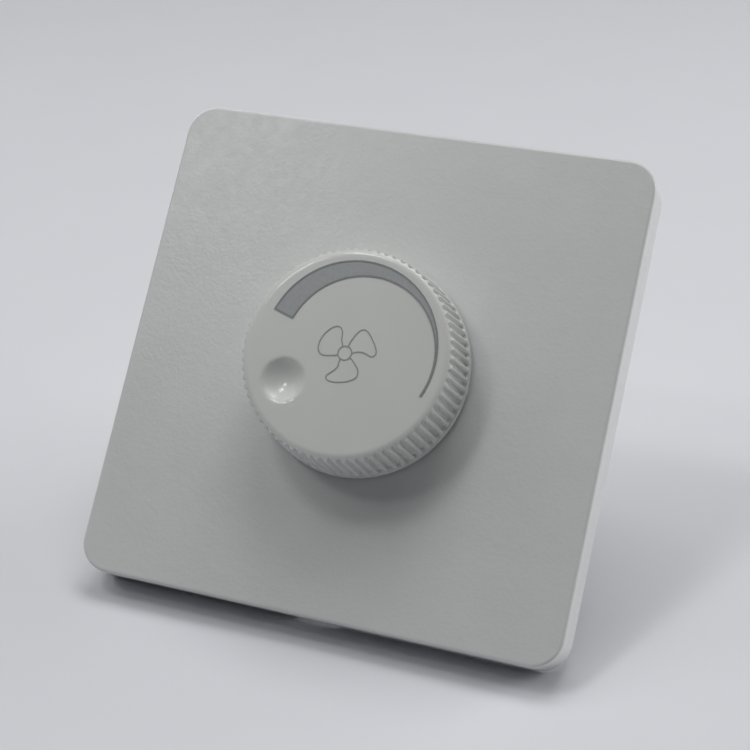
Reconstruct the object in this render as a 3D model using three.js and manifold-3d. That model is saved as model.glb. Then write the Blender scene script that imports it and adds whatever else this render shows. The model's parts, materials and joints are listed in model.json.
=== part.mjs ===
// Rotary fan speed controller on a square wall plate, built as separate pieces.
// Millimetres. +Z is up, the front faces -Y, and +X is to the right seen from the front.
// The origin lies on the wall plane, on the axis of the control shaft.

import * as THREE from "three";
import { mergeVertices } from "three/addons/utils/BufferGeometryUtils.js";
import Module from "manifold-3d";

const wasm = await Module();
wasm.setup();

// ---------------------------------------------------------------- driving dimensions

const TURN = 2 * Math.PI;
const DEGREE = Math.PI / 180;
const MERGE = 1e-4; // vertices closer than this are one vertex
const THROUGH = 1; // how far a cutter runs past the wall it cuts
const GAP = 0.1; // clearance between pieces that meet
const LAP = 0.2; // how far two shapes of one piece run into each other

const plate = {
  side: 86,
  corner: 5.3,
  depth: 8.5, // wall plane to front face
  edge: 0.5, // rounding of the front edge
  skin: 2.2,
  wall: 2.0,
  flare: 0.15, // how much wider each side is at the wall than at the front
  shaftHole: 6.8,
};

// hooks along the top and the bottom wall that snap the plate onto its frame
const snap = {
  x: 24,
  width: 8,
  reach: 0.9,
  root: 0.2, // how far a hook starts inside the wall
  backY: -0.6,
  tipY: [-1.5, -2.0],
  frontY: -2.4,
  recessWidth: 9.2,
  recessDepth: 2.8,
};

// opening in the lower rim for the blade that levers the plate off
const prySlot = { width: 8, depth: 1.2, rise: 1 };

const knob = {
  gap: 0.5, // between the plate and the knob
  length: 11,
  ringRadius: 19,
  ringLength: 1.3,
  ribs: 72,
  ribRadiusBack: 18.85,
  ribRadiusFront: 18.15,
  ribHeight: 0.8,
  ribShare: 0.42, // of one pitch, between the middles of the two flanks
  ribCrest: 0.75, // of half that share: where the crest ends
  ribRoot: 1.25, // of half that share: where the flank reaches the root
  faceRounding: 0.95,
  skin: 2.4,
  wall: 1.7,
  bossRadius: 5,
  bossGap: 0.6, // the boss ends this far in front of the knob's rear edge
  webThickness: 1.2,
  webGap: 3,
  boreClearance: 0.1,
  boreRoom: 0.3, // in front of the shaft's end
};
knob.back = -plate.depth - knob.gap;
knob.front = knob.back - knob.length;

const dimple = { x: -9.5, z: -6.1, radius: 3.7, depth: 1.2 };

const ink = {
  film: 0.04,
  lift: 0.01,
  scaleLine: 0.26,
  iconLine: 0.2,
  iconHub: 1.18,
};

const scale = {
  outer: { x: 0.5, z: 0.9, radius: 15.05 },
  inner: { x: 2.16, z: 0.44, radius: 12.93 },
  start: 163 * DEGREE, // wide end
  end: -24 * DEGREE, // thin end
  fillEnd: 2 * DEGREE, // from here on the two outlines run together
};

const carrier = {
  side: 81.2,
  corner: 3.4,
  front: -5.8,
  skin: 2.0,
  wall: 1.8,
  sunk: 0.4, // ribs, ridge and bosses start this far inside the skin
  ribs: [-34, -17, 17, 34],
  ribThickness: 1,
  ribBack: -1,
  bushHole: 3.65, // radius
  ridgeWall: 1.3,
  ridgeGapX: 0.8, // between the ridge and the rear housing
  ridgeGapZ: 1.5,
  ridgeBack: -0.6,
  screwSpacing: 60.3,
  slotWidth: 4.6,
  slotLength: 8,
  bossMargin: 2,
  postRadius: 3,
  pilotRadius: 1.3,
  pilotStart: 0.8, // how far the screws' pilot holes reach into the skin
};
carrier.back = carrier.front + carrier.skin;

const housing = {
  width: 50,
  height: 44.6, // at its rear edge
  corner: 3,
  back: 24,
  wall: 1.7,
  flare: 0.7,
  rounding: 1.2, // of the rear edge
  postX: 20.3,
  postZ: 17.6,
  postRadius: 3.2,
  wellRadius: 2.5,
  wellFloor: 14, // where the heads of the long screws sit
  screwHoleRadius: 1.5,
};
housing.front = carrier.back + 0.1;

const vent = {
  width: 1.8,
  pitch: 3.6,
  cut: 4, // how far a slot's cutter reaches in from the outside
  backCount: 9,
  backLow: 6.5,
  backHigh: 17.5,
  sideCount: 7,
  sideFront: 11,
  sideBack: 20,
};

const longScrew = {
  headRadius: 2.1,
  headEdge: 0.9,
  headHeight: 1.6,
  crownRadius: 1.4,
  shankRadius: 1.1,
  tipRadius: 0.3,
  tip: -1.6,
  tipLength: 1.8,
  driveReach: 1.3, // half the cross recess's length
  driveWidth: 0.56,
  driveDepth: 0.8,
};

const board = {
  width: 45.2,
  height: 40,
  corner: 1.5,
  front: 6.6,
  thickness: 1.6,
  holeRadius: 1.6,
  leadEnd: 0.8, // how far leads stand out of the board's front
  leadWidth: 0.6,
  leadHoleRadius: 0.9,
  standoff: 0.3, // between the board and the components on it
};
board.back = board.front + board.thickness;
board.seat = board.back + board.standoff;

const shaft = {
  radius: 3,
  flat: 1.6, // from the axis to the flat
  flatEnd: -10,
  front: -17.2,
  chamfer: 0.4,
  step: -2.1,
  stub: 2,
  end: 1,
};
const circlip = { front: -9.2, back: -8.65, groove: 2.4, radius: 4.1, mouth: 3.2, play: 0.1 };
const bush = {
  radius: 3.5,
  bore: 3.05,
  front: -8.5,
  flangeRadius: 4.4,
  back: -2.2,
  threads: 2,
  threadDepth: 0.3,
  threadStart: 0.4,
};
const nut = { acrossFlats: 10, front: -8.35, back: -6.45, chamfer: 0.55, crownRadius: 5 };
const washer = { front: -6.35, back: -5.9, bore: 3.65, teeth: 12, root: 4.9, tip: 5.7 };

// The potentiometer, from its front plate to the switch behind it. Pairs are front and back Y.
const pot = {
  plateDepth: [-3.7, -2.9],
  plateRadius: 8.3,
  tab: { width: 3, height: 1.4, place: 8.6 },
  waferDepth: [-2.7, -1.7],
  waferRadius: 7.5,
  waferBore: 4.8,
  tongue: { half: 6.2, low: -9.2, high: -4 },
  trackDepth: [-1.65, -1.5],
  track: { inner: 5.3, outer: 7, gap: 60 * DEGREE },
  springDepth: [-1.4, -1.0],
  spring: { outer: 4.6, inner: 2.3, armWidth: 1.6, armStart: 4, armEnd: 6.7 },
  rotorDepth: [-0.9, 0.8],
  rotorRadius: 7.1,
  stop: { half: 1.1, low: -5.6, high: -3.4, sunk: 0.4, rise: 0.3 },
  canDepth: [-2.8, 1.7],
  can: { radius: 8.2, wall: 0.4, hole: 2.6 },
  mouth: { half: 6.5, low: -9, high: -3, back: -1.4 },
  switchDepth: [1.9, 5.2],
  switchRadius: 8,
  switchStep: { radius: 3.2, height: 0.3 },
};
const lug = { places: [-5, 0, 5], width: 1.2, thickness: 0.5, top: -8.4, low: -10.8, footHeight: 0.6 };
const switchLug = { places: [-3, 3], width: 0.8, z: 5, front: 5.3 };
const solderEnd = 1.2; // how far lugs stand out of the board's back

// Components that stand on the board: their middle in X and Z, and their size.
const film = { x: 17, z: -1, width: 6, height: 11, length: 13, rounding: 0.8, pins: 5 };
const timing = { x: 9.5, z: -6.8, width: 7, height: 6.5, length: 2.6, rounding: 0.5, pins: 2.5 };
const choke = { x: -15, z: -4.6, flange: 6, core: 2.6, height: 10, rim: 1.2, pins: 4, gap: 0.15 };
choke.windingRadius = choke.flange - 0.5;
const axials = {
  resistor_1: { x: 2, z: 0.6, length: 6.4, radius: 1.2, span: 10.2 },
  resistor_2: { x: 2, z: -3.2, length: 6.4, radius: 1.2, span: 10.2 },
  diac: { x: -3.4, z: -7.2, length: 4.2, radius: 0.95, span: 7.6 },
};
const sink = {
  x: -1,
  width: 27,
  face: 8.2, // Z of the face that the triac is screwed to
  base: 1.8,
  fin: 6.5,
  finThickness: 1.1,
  fins: 6,
  height: 12.4,
  holeRadius: 1.35,
};
const triac = {
  tabLow: -11.5,
  bodyLow: -5.2,
  bodyHigh: 4.2,
  halfWidth: 5,
  thickness: 4.4,
  tab: 1.3,
  hole: -8.4,
  holeRadius: 1.9,
  middle: 14.6,
  gap: 0.1, // between its tab and the heat sink
  recess: 0.05, // from the tab's back to the body's back
  pinPitch: 2.54,
  pinWidth: 0.8,
  pinReach: [1.6, 3, 4.4], // the pins bend to the board at three distances
  pinDrop: 2.6,
};
const sinkScrew = {
  headRadius: 2.7,
  crownRadius: 2.2,
  headHeight: 2.2,
  edge: 0.6,
  shankRadius: 1.25,
  length: 4.2,
  slot: 0.7,
};

const terminal = {
  pitch: 7.62,
  width: 15.6,
  front: 8.4,
  back: 23.4,
  zLow: -20,
  zHigh: -11.2,
  screwZ: -16.1,
  // the chamber of each way, its wire hole and the hole for its screw
  chamber: { half: 3.1, front: 10, back: 21.4, low: -19, high: -11.9 },
  wireHole: { half: 2.25, front: 12.1, back: 16.75, reach: 2 },
  screwHoleRadius: 2.3,
  legSlot: { half: 0.8, low: -12.7, high: -11.8, depth: 2 },
  groove: { width: 1, depth: 1.2 },
  tongue: { half: 1.8, front: 16.8, back: 17.4, low: -18.7, high: -12 },
  leg: { half: 0.6, low: -12.6, high: -12 },
  cage: { half: 2.75, front: 11.1, back: 19.1, below: 2.5, above: 2.4 },
  cageWindow: { half: 2.1, front: 12.1, back: 17.9 },
  cageHoleRadius: 1.6,
};
const clampScrew = {
  tip: 17.5,
  tipRadius: 1.1,
  radius: 1.5,
  under: 21.6,
  headRadius: 2.1,
  top: 23,
  chamfer: 0.2,
  slotWidth: 0.6,
  slotDepth: 0.8,
};
const housingWindow = { margin: 0.3, wireFront: 10.5, wireBack: 18.5 };

// ---------------------------------------------------------------- finishes

function finish(color, roughness, metalness) {
  return new THREE.MeshStandardMaterial({ color, roughness, metalness });
}

const finishes = {
  whitePlastic: finish("#e9eae6", 0.45, 0),
  knobPlastic: finish("#eeefeb", 0.35, 0),
  greyInk: finish("#84888c", 0.6, 0),
  darkInk: finish("#6e7072", 0.6, 0),
  carrierPlastic: finish("#e2e3df", 0.5, 0),
  housingPlastic: finish("#dcddd8", 0.5, 0),
  boardLaminate: finish("#3f6b45", 0.5, 0),
  brass: finish("#c9a552", 0.35, 1),
  steel: finish("#b9bcc0", 0.35, 1),
  aluminium: finish("#c6c9cc", 0.4, 1),
  phenolic: finish("#6b4426", 0.7, 0),
  carbon: finish("#1d1d1f", 0.8, 0),
  blackPlastic: finish("#26272a", 0.5, 0),
  ferrite: finish("#33343a", 0.7, 0),
  copper: finish("#b3653a", 0.35, 1),
  capacitorCase: finish("#c8a53a", 0.4, 0),
  resistorLacquer: finish("#c9b58c", 0.5, 0),
  diacGlass: finish("#2f5fa8", 0.2, 0),
  terminalPlastic: finish("#3d6f52", 0.5, 0),
};

// ---------------------------------------------------------------- solids

function signedVolume(positions, triangles) {
  const [a, b, c] = [new THREE.Vector3(), new THREE.Vector3(), new THREE.Vector3()];
  let volume = 0;
  for (let i = 0; i < triangles.length; i += 3) {
    a.fromArray(positions, 3 * triangles[i]);
    b.fromArray(positions, 3 * triangles[i + 1]);
    c.fromArray(positions, 3 * triangles[i + 2]);
    volume += a.dot(b.cross(c)) / 6;
  }
  return volume;
}

// A closed geometry as a manifold solid with its faces pointing out.
function solid(geometry) {
  const bare = geometry.clone();
  bare.deleteAttribute("normal");
  bare.deleteAttribute("uv");
  const merged = mergeVertices(bare, MERGE);
  const positions = merged.attributes.position.array;
  const index = merged.index.array;
  const triangles = [];
  for (let i = 0; i < index.length; i += 3) {
    const [p, q, r] = [index[i], index[i + 1], index[i + 2]];
    if (p !== q && q !== r && r !== p) triangles.push(p, q, r);
  }
  if (signedVolume(positions, triangles) < 0) triangles.reverse();
  return new wasm.Manifold(new wasm.Mesh({
    numProp: 3,
    vertProperties: new Float32Array(positions),
    triVerts: new Uint32Array(triangles),
  }));
}

function geometryOf(body) {
  const { vertProperties, triVerts } = body.getMesh();
  const geometry = new THREE.BufferGeometry();
  geometry.setAttribute("position", new THREE.BufferAttribute(vertProperties, 3));
  geometry.setIndex(new THREE.BufferAttribute(triVerts, 1));
  geometry.computeVertexNormals();
  return geometry;
}

function piece(name, body, material) {
  const mesh = new THREE.Mesh(geometryOf(body), material);
  mesh.name = name;
  return mesh;
}

function group(position, ...members) {
  const holder = new THREE.Group();
  holder.position.set(...position);
  holder.add(...members);
  return holder;
}

function joined(bodies) {
  return bodies.reduce((sum, next) => sum.add(next));
}

// A block from its lowest to its highest corner.
function block(low, high) {
  const size = high.map((value, i) => value - low[i]);
  const centre = high.map((value, i) => (value + low[i]) / 2);
  return solid(new THREE.BoxGeometry(...size).translate(...centre));
}

// Calls make for each pairing of plus and minus x with plus and minus z.
function atCorners(x, z, make) {
  return [-x, x].flatMap((atX) => [-z, z].map((atZ) => make(atX, atZ)));
}

// A rod along Y.
function rodY(radius, from, to, { x = 0, z = 0, sides = 24 } = {}) {
  const rod = new THREE.CylinderGeometry(radius, radius, to - from, sides);
  return solid(rod.translate(x, (from + to) / 2, z));
}

// A shape drawn in X and Z, from one Y to another. A rounding takes that much off both ends.
function extrudedY(shape, from, to, { rounding = 0, steps = 3, curve = 4 } = {}) {
  const geometry = new THREE.ExtrudeGeometry(shape, {
    depth: to - from - 2 * rounding,
    curveSegments: curve,
    bevelEnabled: rounding > 0,
    bevelThickness: rounding,
    bevelSize: rounding,
    bevelOffset: -rounding,
    bevelSegments: steps,
  });
  return geometry.rotateX(Math.PI / 2).translate(0, to - rounding, 0);
}

function roundedRectangle(width, height, radius) {
  const [x, z] = [width / 2, height / 2];
  const shape = new THREE.Shape();
  shape.moveTo(x, radius - z);
  shape.absarc(x - radius, z - radius, radius, 0, Math.PI / 2);
  shape.absarc(radius - x, z - radius, radius, Math.PI / 2, Math.PI);
  shape.absarc(radius - x, radius - z, radius, Math.PI, 1.5 * Math.PI);
  shape.absarc(x - radius, radius - z, radius, 1.5 * Math.PI, TURN);
  return shape;
}

// Widens a geometry in X and Z from one Y towards another, by an amount at a given half width.
function flared(geometry, from, to, amount, halfWidth) {
  const position = geometry.attributes.position;
  for (let i = 0; i < position.count; i += 1) {
    const share = (position.getY(i) - from) / (to - from);
    const factor = 1 + (amount * share) / halfWidth;
    position.setX(i, position.getX(i) * factor);
    position.setZ(i, position.getZ(i) * factor);
  }
  return geometry;
}

// A solid of revolution about the Y axis, from [radius, y] pairs.
function turned(profile, sides = 24) {
  const points = profile.map(([radius, y]) => new THREE.Vector2(radius, y));
  return solid(new THREE.LatheGeometry(points, sides));
}

// ---------------------------------------------------------------- cover plate

// A wedge on the wall's inner face, at the top for up = 1 and at the bottom for up = -1.
function snapHook(wallInside, x, up) {
  const { width, reach, root, backY, tipY, frontY } = snap;
  const outline = new THREE.Shape([
    new THREE.Vector2(wallInside + root, backY),
    new THREE.Vector2(wallInside - reach, tipY[0]),
    new THREE.Vector2(wallInside - reach, tipY[1]),
    new THREE.Vector2(wallInside + root, frontY),
  ]);
  const wedge = new THREE.ExtrudeGeometry(outline, { depth: width, bevelEnabled: false });
  wedge.rotateY(-Math.PI / 2).translate(width / 2, 0, 0);
  return solid(wedge.scale(1, 1, up).translate(x, 0, 0));
}

function coverPlate() {
  const { side, corner, depth, edge, skin, wall, flare, shaftHole } = plate;
  const outline = roundedRectangle(side, side, corner);
  const outside = extrudedY(outline, -depth, depth, { rounding: edge, steps: 3 });
  const behindWall = block([-side, 0, -side], [side, 2 * depth, side]);
  const inner = side - 2 * wall;
  const cavity = roundedRectangle(inner, inner, corner - wall);
  const hole = rodY(shaftHole, -depth - THROUGH, 0, { sides: 36 });
  let body = solid(flared(outside, -depth, 0, flare, side / 2));
  body = body.subtract(behindWall);
  body = body.subtract(solid(extrudedY(cavity, skin - depth, THROUGH, { curve: 4 })));
  body = body.subtract(hole);
  const hooks = atCorners(snap.x, 1, (x, up) => snapHook(inner / 2, x, up));
  body = body.add(joined(hooks));
  const slotTop = prySlot.rise - inner / 2;
  return body.subtract(block(
    [-prySlot.width / 2, -prySlot.depth, -side], [prySlot.width / 2, THROUGH, slotTop]));
}

// ---------------------------------------------------------------- knob

// The side between the rounded face and the base ring: ribs with grooves between them.
function knobRibs() {
  const pitch = TURN / knob.ribs;
  const half = (pitch * knob.ribShare) / 2;
  const crest = knob.ribRadiusBack;
  const root = crest - knob.ribHeight;
  const { ribRoot, ribCrest } = knob;
  const corners = [[root, -ribRoot], [crest, -ribCrest], [crest, ribCrest], [root, ribRoot]];
  const points = [];
  for (let i = 0; i < knob.ribs; i += 1) {
    for (const [radius, along] of corners) {
      const angle = i * pitch + along * half;
      points.push(new THREE.Vector2(radius * Math.cos(angle), radius * Math.sin(angle)));
    }
  }
  const outline = new THREE.Shape(points);
  const from = knob.front + knob.faceRounding - LAP;
  const to = knob.back - knob.ringLength / 2;
  const taper = knob.ribRadiusFront - knob.ribRadiusBack - LAP / 10;
  return solid(flared(extrudedY(outline, from, to), to, from, taper, crest));
}

function knobBody() {
  const { back, front, ringRadius, ringLength, faceRounding, skin, wall } = knob;
  const rootFront = knob.ribRadiusFront - knob.ribHeight;
  const rim = knob.ribRadiusFront;
  const shoulder = front + faceRounding;
  const face = [[0, front]];
  const arcs = 3;
  for (let step = 0; step <= arcs; step += 1) {
    const angle = (step / arcs) * (Math.PI / 2);
    const radius = rim - faceRounding * (1 - Math.sin(angle));
    face.push([radius, shoulder - faceRounding * Math.cos(angle)]);
  }
  const cap = turned([...face, [0, shoulder]], knob.ribs);
  const ring = turned([
    [0, back - ringLength], [ringRadius, back - ringLength], [ringRadius, back], [0, back],
  ], knob.ribs);
  let body = cap.add(knobRibs()).add(ring);
  const roof = front + skin;
  const inside = rootFront - wall;
  const room = [[0, roof], [inside, roof], [inside, back + THROUGH], [0, back + THROUGH]];
  body = body.subtract(turned(room, knob.ribs / 2));
  // boss with its D-shaped bore, held by four webs that start inside the roof and the wall
  const lap = 0.5;
  const boss = rodY(knob.bossRadius, roof - lap, back - knob.bossGap, { sides: 16 });
  const web = knob.webThickness / 2;
  const [reach, webEnd] = [inside + lap, back - knob.webGap];
  const webs = [
    block([-reach, roof - lap, -web], [reach, webEnd, web]),
    block([-web, roof - lap, -reach], [web, webEnd, reach]),
  ];
  body = body.add(boss).add(joined(webs));
  const { boreClearance, boreRoom, bossRadius } = knob;
  const bore = rodY(shaft.radius + boreClearance, shaft.front - boreRoom, back + THROUGH);
  const flat = block(
    [-bossRadius, shaft.front - THROUGH, shaft.flat + boreClearance],
    [bossRadius, shaft.flatEnd - boreRoom, bossRadius]);
  body = body.subtract(bore.subtract(flat));
  // finger dimple: a shallow spherical dent
  const ball = (dimple.radius ** 2 + dimple.depth ** 2) / (2 * dimple.depth);
  const dent = new THREE.SphereGeometry(ball, 20, 20).rotateX(Math.PI / 2);
  dent.translate(dimple.x, front + dimple.depth - ball, dimple.z);
  return body.subtract(solid(dent));
}

// The front and back Y of an ink layer: the fill is level 0 on the knob's face, the lines level 1.
function inkLayer(level) {
  const back = knob.front - ink.lift - level * (ink.film + ink.lift);
  return [back - ink.film, back];
}

// The region of the crescent, inset by a margin, between its two end directions.
function crescent(margin, end, [from, to]) {
  const sides = 72;
  const { outer, inner, start } = scale;
  const disc = rodY(outer.radius - margin, from, to, { x: outer.x, z: outer.z, sides });
  const beyond = [from - THROUGH, to + THROUGH];
  const hollow = rodY(inner.radius + margin, ...beyond, { x: inner.x, z: inner.z, sides });
  // the end lines run through the middle of the inner arc
  const reach = 3 * outer.radius;
  const sector = new THREE.Shape();
  const inset = margin / inner.radius;
  const first = start - inset;
  const middle = (start + end) / 2;
  sector.moveTo(inner.x, inner.z);
  for (const angle of [end, middle, first]) {
    sector.lineTo(inner.x + reach * Math.cos(angle), inner.z + reach * Math.sin(angle));
  }
  return disc.subtract(hollow).intersect(solid(extrudedY(sector, ...beyond)));
}

function scaleFill() {
  return crescent(0, scale.end, inkLayer(0));
}

function scaleOutline() {
  const [from, to] = inkLayer(1);
  const inset = crescent(ink.scaleLine, scale.fillEnd, [from - THROUGH, to + THROUGH]);
  return crescent(0, scale.end, [from, to]).subtract(inset);
}

// A closed band of the ink's line width along a smooth loop through the given points.
function inkLoop(points, [from, to]) {
  const curve = new THREE.CatmullRomCurve3(
    points.map(([x, z]) => new THREE.Vector3(x, 0, z)), true, "centripetal");
  const steps = 2 * points.length;
  const sideOf = (offset) => {
    const shape = new THREE.Shape();
    for (let i = 0; i < steps; i += 1) {
      const at = curve.getPoint(i / steps);
      const along = curve.getTangent(i / steps);
      const point = [at.x + along.z * offset, at.z - along.x * offset];
      if (i === 0) shape.moveTo(...point);
      else shape.lineTo(...point);
    }
    return shape;
  };
  const wide = solid(extrudedY(sideOf(ink.iconLine / 2), from, to));
  const narrow = solid(extrudedY(sideOf(-ink.iconLine / 2), from - THROUGH, to + THROUGH));
  return wide.subtract(narrow);
}

// Three fan blades around a hub, drawn as outlines.
function fanIcon() {
  const layer = inkLayer(0);
  const blades = [
    [[-0.5, 0.8], [-1.05, 2.1], [-1.15, 3.3], [-1.7, 4.15], [-2.5, 4.2], [-3.5, 3.5],
      [-4.4, 2.2], [-4.75, 0.7], [-4.55, -0.35], [-3.8, -0.9], [-2.4, -0.8], [-0.8, -0.3]],
    [[0.8, 0.1], [2.0, 0.5], [3.2, 0.6], [4.15, 0.25], [4.75, 0.15], [5.25, 0.6], [5.15, 1.4],
      [4.35, 2.7], [3.2, 4.05], [2.45, 4.4], [1.65, 4.0], [0.9, 2.8], [0.3, 0.9]],
    [[-0.5, -0.8], [-0.65, -2.4], [-1.4, -3.4], [-2.15, -4.05], [-2.25, -4.6], [-1.55, -5.0],
      [0.1, -4.95], [1.8, -4.45], [2.9, -3.6], [2.9, -2.5], [2.1, -1.5], [0.8, -0.5]],
  ];
  const line = ink.iconLine / 2;
  const hubRadius = ink.iconHub;
  const [from, to] = layer;
  const bands = joined(blades.map((points) => inkLoop(points, layer)));
  const inHub = rodY(hubRadius, from - THROUGH, to + THROUGH);
  const hub = rodY(hubRadius + line, from, to);
  const open = rodY(hubRadius - line, from - THROUGH, to + THROUGH);
  return bands.subtract(inHub).add(hub).subtract(open);
}

// ---------------------------------------------------------------- carrier and rear housing

function carrierRibs(start, reach) {
  const half = carrier.ribThickness / 2;
  return joined(carrier.ribs.flatMap((at) => [
    block([at - half, start, -reach], [at + half, carrier.ribBack, reach]),
    block([-reach, start, at - half], [reach, carrier.ribBack, at + half]),
  ]));
}

function carrierFrame() {
  const { side, corner, front, back, wall, ridgeWall, ridgeGapX, ridgeGapZ, ridgeBack } = carrier;
  const { screwSpacing, slotWidth, slotLength, bossMargin, postRadius, pilotRadius } = carrier;
  const outline = roundedRectangle(side, side, corner);
  const inner = side - 2 * wall;
  const cavity = roundedRectangle(inner, inner, corner - wall);
  const start = back - carrier.sunk;
  let body = solid(extrudedY(outline, front, 0, { curve: 4 }));
  body = body.subtract(solid(extrudedY(cavity, back, THROUGH, { curve: 3 })));
  body = body.add(carrierRibs(start, inner / 2 + carrier.sunk));
  // ridge that the rear housing sits in
  const recessSize = [housing.width + 2 * ridgeGapX, housing.height + 2 * ridgeGapZ];
  const ridgeSize = recessSize.map((length) => length + 2 * ridgeWall);
  const ridge = roundedRectangle(...ridgeSize, housing.corner + 1);
  const recess = roundedRectangle(...recessSize, housing.corner);
  body = body.add(solid(extrudedY(ridge, start, ridgeBack, { curve: 4 })));
  body = body.subtract(solid(extrudedY(recess, back, THROUGH, { curve: 4 })));
  // bosses with the slots for the wall screws; a slot's ends are just short of half circles
  const slotCorner = 0.49 * slotWidth;
  const slot = roundedRectangle(slotWidth, slotLength, slotCorner);
  const boss = roundedRectangle(
    slotWidth + 2 * bossMargin, slotLength + 2 * bossMargin, slotCorner + bossMargin);
  for (const x of [-screwSpacing / 2, screwSpacing / 2]) {
    const bossSolid = extrudedY(boss, start, ridgeBack, { curve: 6 }).translate(x, 0, 0);
    const slotSolid = extrudedY(slot, front - THROUGH, THROUGH, { curve: 6 }).translate(x, 0, 0);
    body = body.add(solid(bossSolid)).subtract(solid(slotSolid));
  }
  // posts that carry the circuit board, with pilot holes for the long screws
  const postTop = board.front - GAP;
  const pilotLow = back - carrier.pilotStart;
  const posts = atCorners(housing.postX, housing.postZ, (x, z) => (
    rodY(postRadius, start, postTop, { x, z, sides: 20 })));
  const pilots = atCorners(housing.postX, housing.postZ, (x, z) => (
    rodY(pilotRadius, pilotLow, postTop + THROUGH, { x, z, sides: 12 })));
  // recesses for the cover's snap hooks
  const half = snap.recessWidth / 2;
  const recesses = atCorners(snap.x, side / 2, (x, z) => block(
    [x - half, -snap.recessDepth, z - snap.reach], [x + half, THROUGH, z + snap.reach]));
  body = body.add(joined(posts)).subtract(joined([...pilots, ...recesses]));
  return body.subtract(rodY(carrier.bushHole, front - THROUGH, 0));
}

function ventSlots() {
  const { width, pitch, cut, backCount, backLow, backHigh, sideCount, sideFront, sideBack } = vent;
  const half = width / 2;
  const edge = housing.width / 2;
  const slots = [];
  for (let i = 0; i < backCount; i += 1) {
    const x = pitch * (i - (backCount - 1) / 2);
    slots.push(block(
      [x - half, housing.back - cut, backLow], [x + half, housing.back + THROUGH, backHigh]));
  }
  for (let i = 0; i < sideCount; i += 1) {
    const at = pitch * (i - (sideCount - 1) / 2);
    const top = housing.height / 2 - cut;
    slots.push(block([at - half, sideFront, top], [at + half, sideBack, housing.height]));
    slots.push(block([-housing.width, sideFront, at - half], [cut - edge, sideBack, at + half]));
    slots.push(block([edge - cut, sideFront, at - half], [housing.width, sideBack, at + half]));
  }
  return joined(slots);
}

function rearHousing() {
  const { width, height, corner, front, back, wall, flare, rounding, postX, postZ } = housing;
  const outline = roundedRectangle(width, height, corner);
  const shell = extrudedY(outline, front - 2 * rounding, back, { rounding, curve: 5 });
  const inside = roundedRectangle(width - 2 * wall, height - 2 * wall, corner - wall);
  const room = extrudedY(inside, front - 2 * THROUGH, back - wall, { curve: 4 });
  let body = solid(flared(shell, back, front, flare, height / 2));
  body = body.subtract(block([-width, front - 4 * rounding, -width], [width, front, width]));
  body = body.subtract(solid(flared(room, back, front, flare, height / 2)));
  // corner posts with the wells for the long screws
  const posts = atCorners(postX, postZ, (x, z) => (
    rodY(housing.postRadius, board.back + GAP, back - LAP, { x, z, sides: 24 })));
  const holes = atCorners(postX, postZ, (x, z) => (
    rodY(housing.wellRadius, housing.wellFloor, back + THROUGH, { x, z, sides: 24 }).add(
      rodY(housing.screwHoleRadius, board.back - THROUGH, back, { x, z, sides: 12 }))));
  body = body.add(joined(posts)).subtract(joined(holes));
  // windows for the terminal block: the screws at the back, the wires below
  const { margin, wireFront, wireBack } = housingWindow;
  const half = terminal.width / 2 + margin;
  const [low, high] = [terminal.zLow - margin, terminal.zHigh + margin];
  body = body.subtract(block([-half, back - wall - THROUGH, low], [half, back + THROUGH, high]));
  body = body.subtract(block([-half, wireFront, -height], [half, wireBack, terminal.zLow + LAP]));
  return body.subtract(ventSlots());
}

function housingScrew() {
  const { headRadius, headEdge, headHeight, crownRadius, shankRadius, tipRadius } = longScrew;
  const { tip, tipLength, driveReach, driveWidth, driveDepth } = longScrew;
  const seat = housing.wellFloor + GAP;
  const under = seat + headEdge / 2; // the shank ends inside the head
  const head = turned([
    [0, seat], [headRadius, seat], [headRadius, seat + headEdge],
    [crownRadius, seat + 0.95 * headHeight], [0, seat + headHeight],
  ], 16);
  const shank = turned([
    [0, tip], [tipRadius, tip], [shankRadius, tip + tipLength], [shankRadius, under], [0, under],
  ], 12);
  const half = driveWidth / 2;
  const low = seat + headHeight - driveDepth;
  const high = low + headHeight;
  const drive = block([-driveReach, low, -half], [driveReach, high, half]).add(
    block([-half, low, -driveReach], [half, high, driveReach]));
  return head.add(shank).subtract(drive);
}

// ---------------------------------------------------------------- potentiometer

function controlShaft() {
  const { radius, flat, flatEnd, front, chamfer, step, stub, end } = shaft;
  const { groove, play } = circlip;
  const body = turned([
    [0, front], [radius - chamfer, front], [radius, front + chamfer],
    [radius, circlip.front - play], [groove, circlip.front - play],
    [groove, circlip.back + play], [radius, circlip.back + play],
    [radius, step], [stub, step], [stub, end], [0, end],
  ]);
  const flatCut = block(
    [-radius, front - THROUGH, flat], [radius, flatEnd, radius + THROUGH]);
  return body.subtract(flatCut);
}

function shaftCirclip() {
  const { front, back, groove, radius, mouth, play } = circlip;
  const ring = rodY(radius, front, back);
  const hole = rodY(groove + play, front - THROUGH, back + THROUGH);
  const opening = block(
    [-mouth / 2, front - THROUGH, -radius - THROUGH], [mouth / 2, back + THROUGH, 0]);
  return ring.subtract(hole).subtract(opening);
}

function threadedBush() {
  const { radius, bore, front, flangeRadius, back, threads, threadDepth, threadStart } = bush;
  const flangeFront = pot.plateDepth[1] + GAP;
  const crest = radius;
  const root = radius - threadDepth;
  const profile = [[bore, front], [root, front]];
  const run = (carrier.back - threadDepth - front - threadStart) / threads;
  for (let i = 0; i < threads; i += 1) {
    const start = front + threadStart + i * run;
    profile.push([crest, start + run / 3], [crest, start + (2 * run) / 3], [root, start + run]);
  }
  profile.push([root, flangeFront], [flangeRadius, flangeFront], [flangeRadius, back]);
  profile.push([bore, back], [bore, front]);
  return turned(profile);
}

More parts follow.
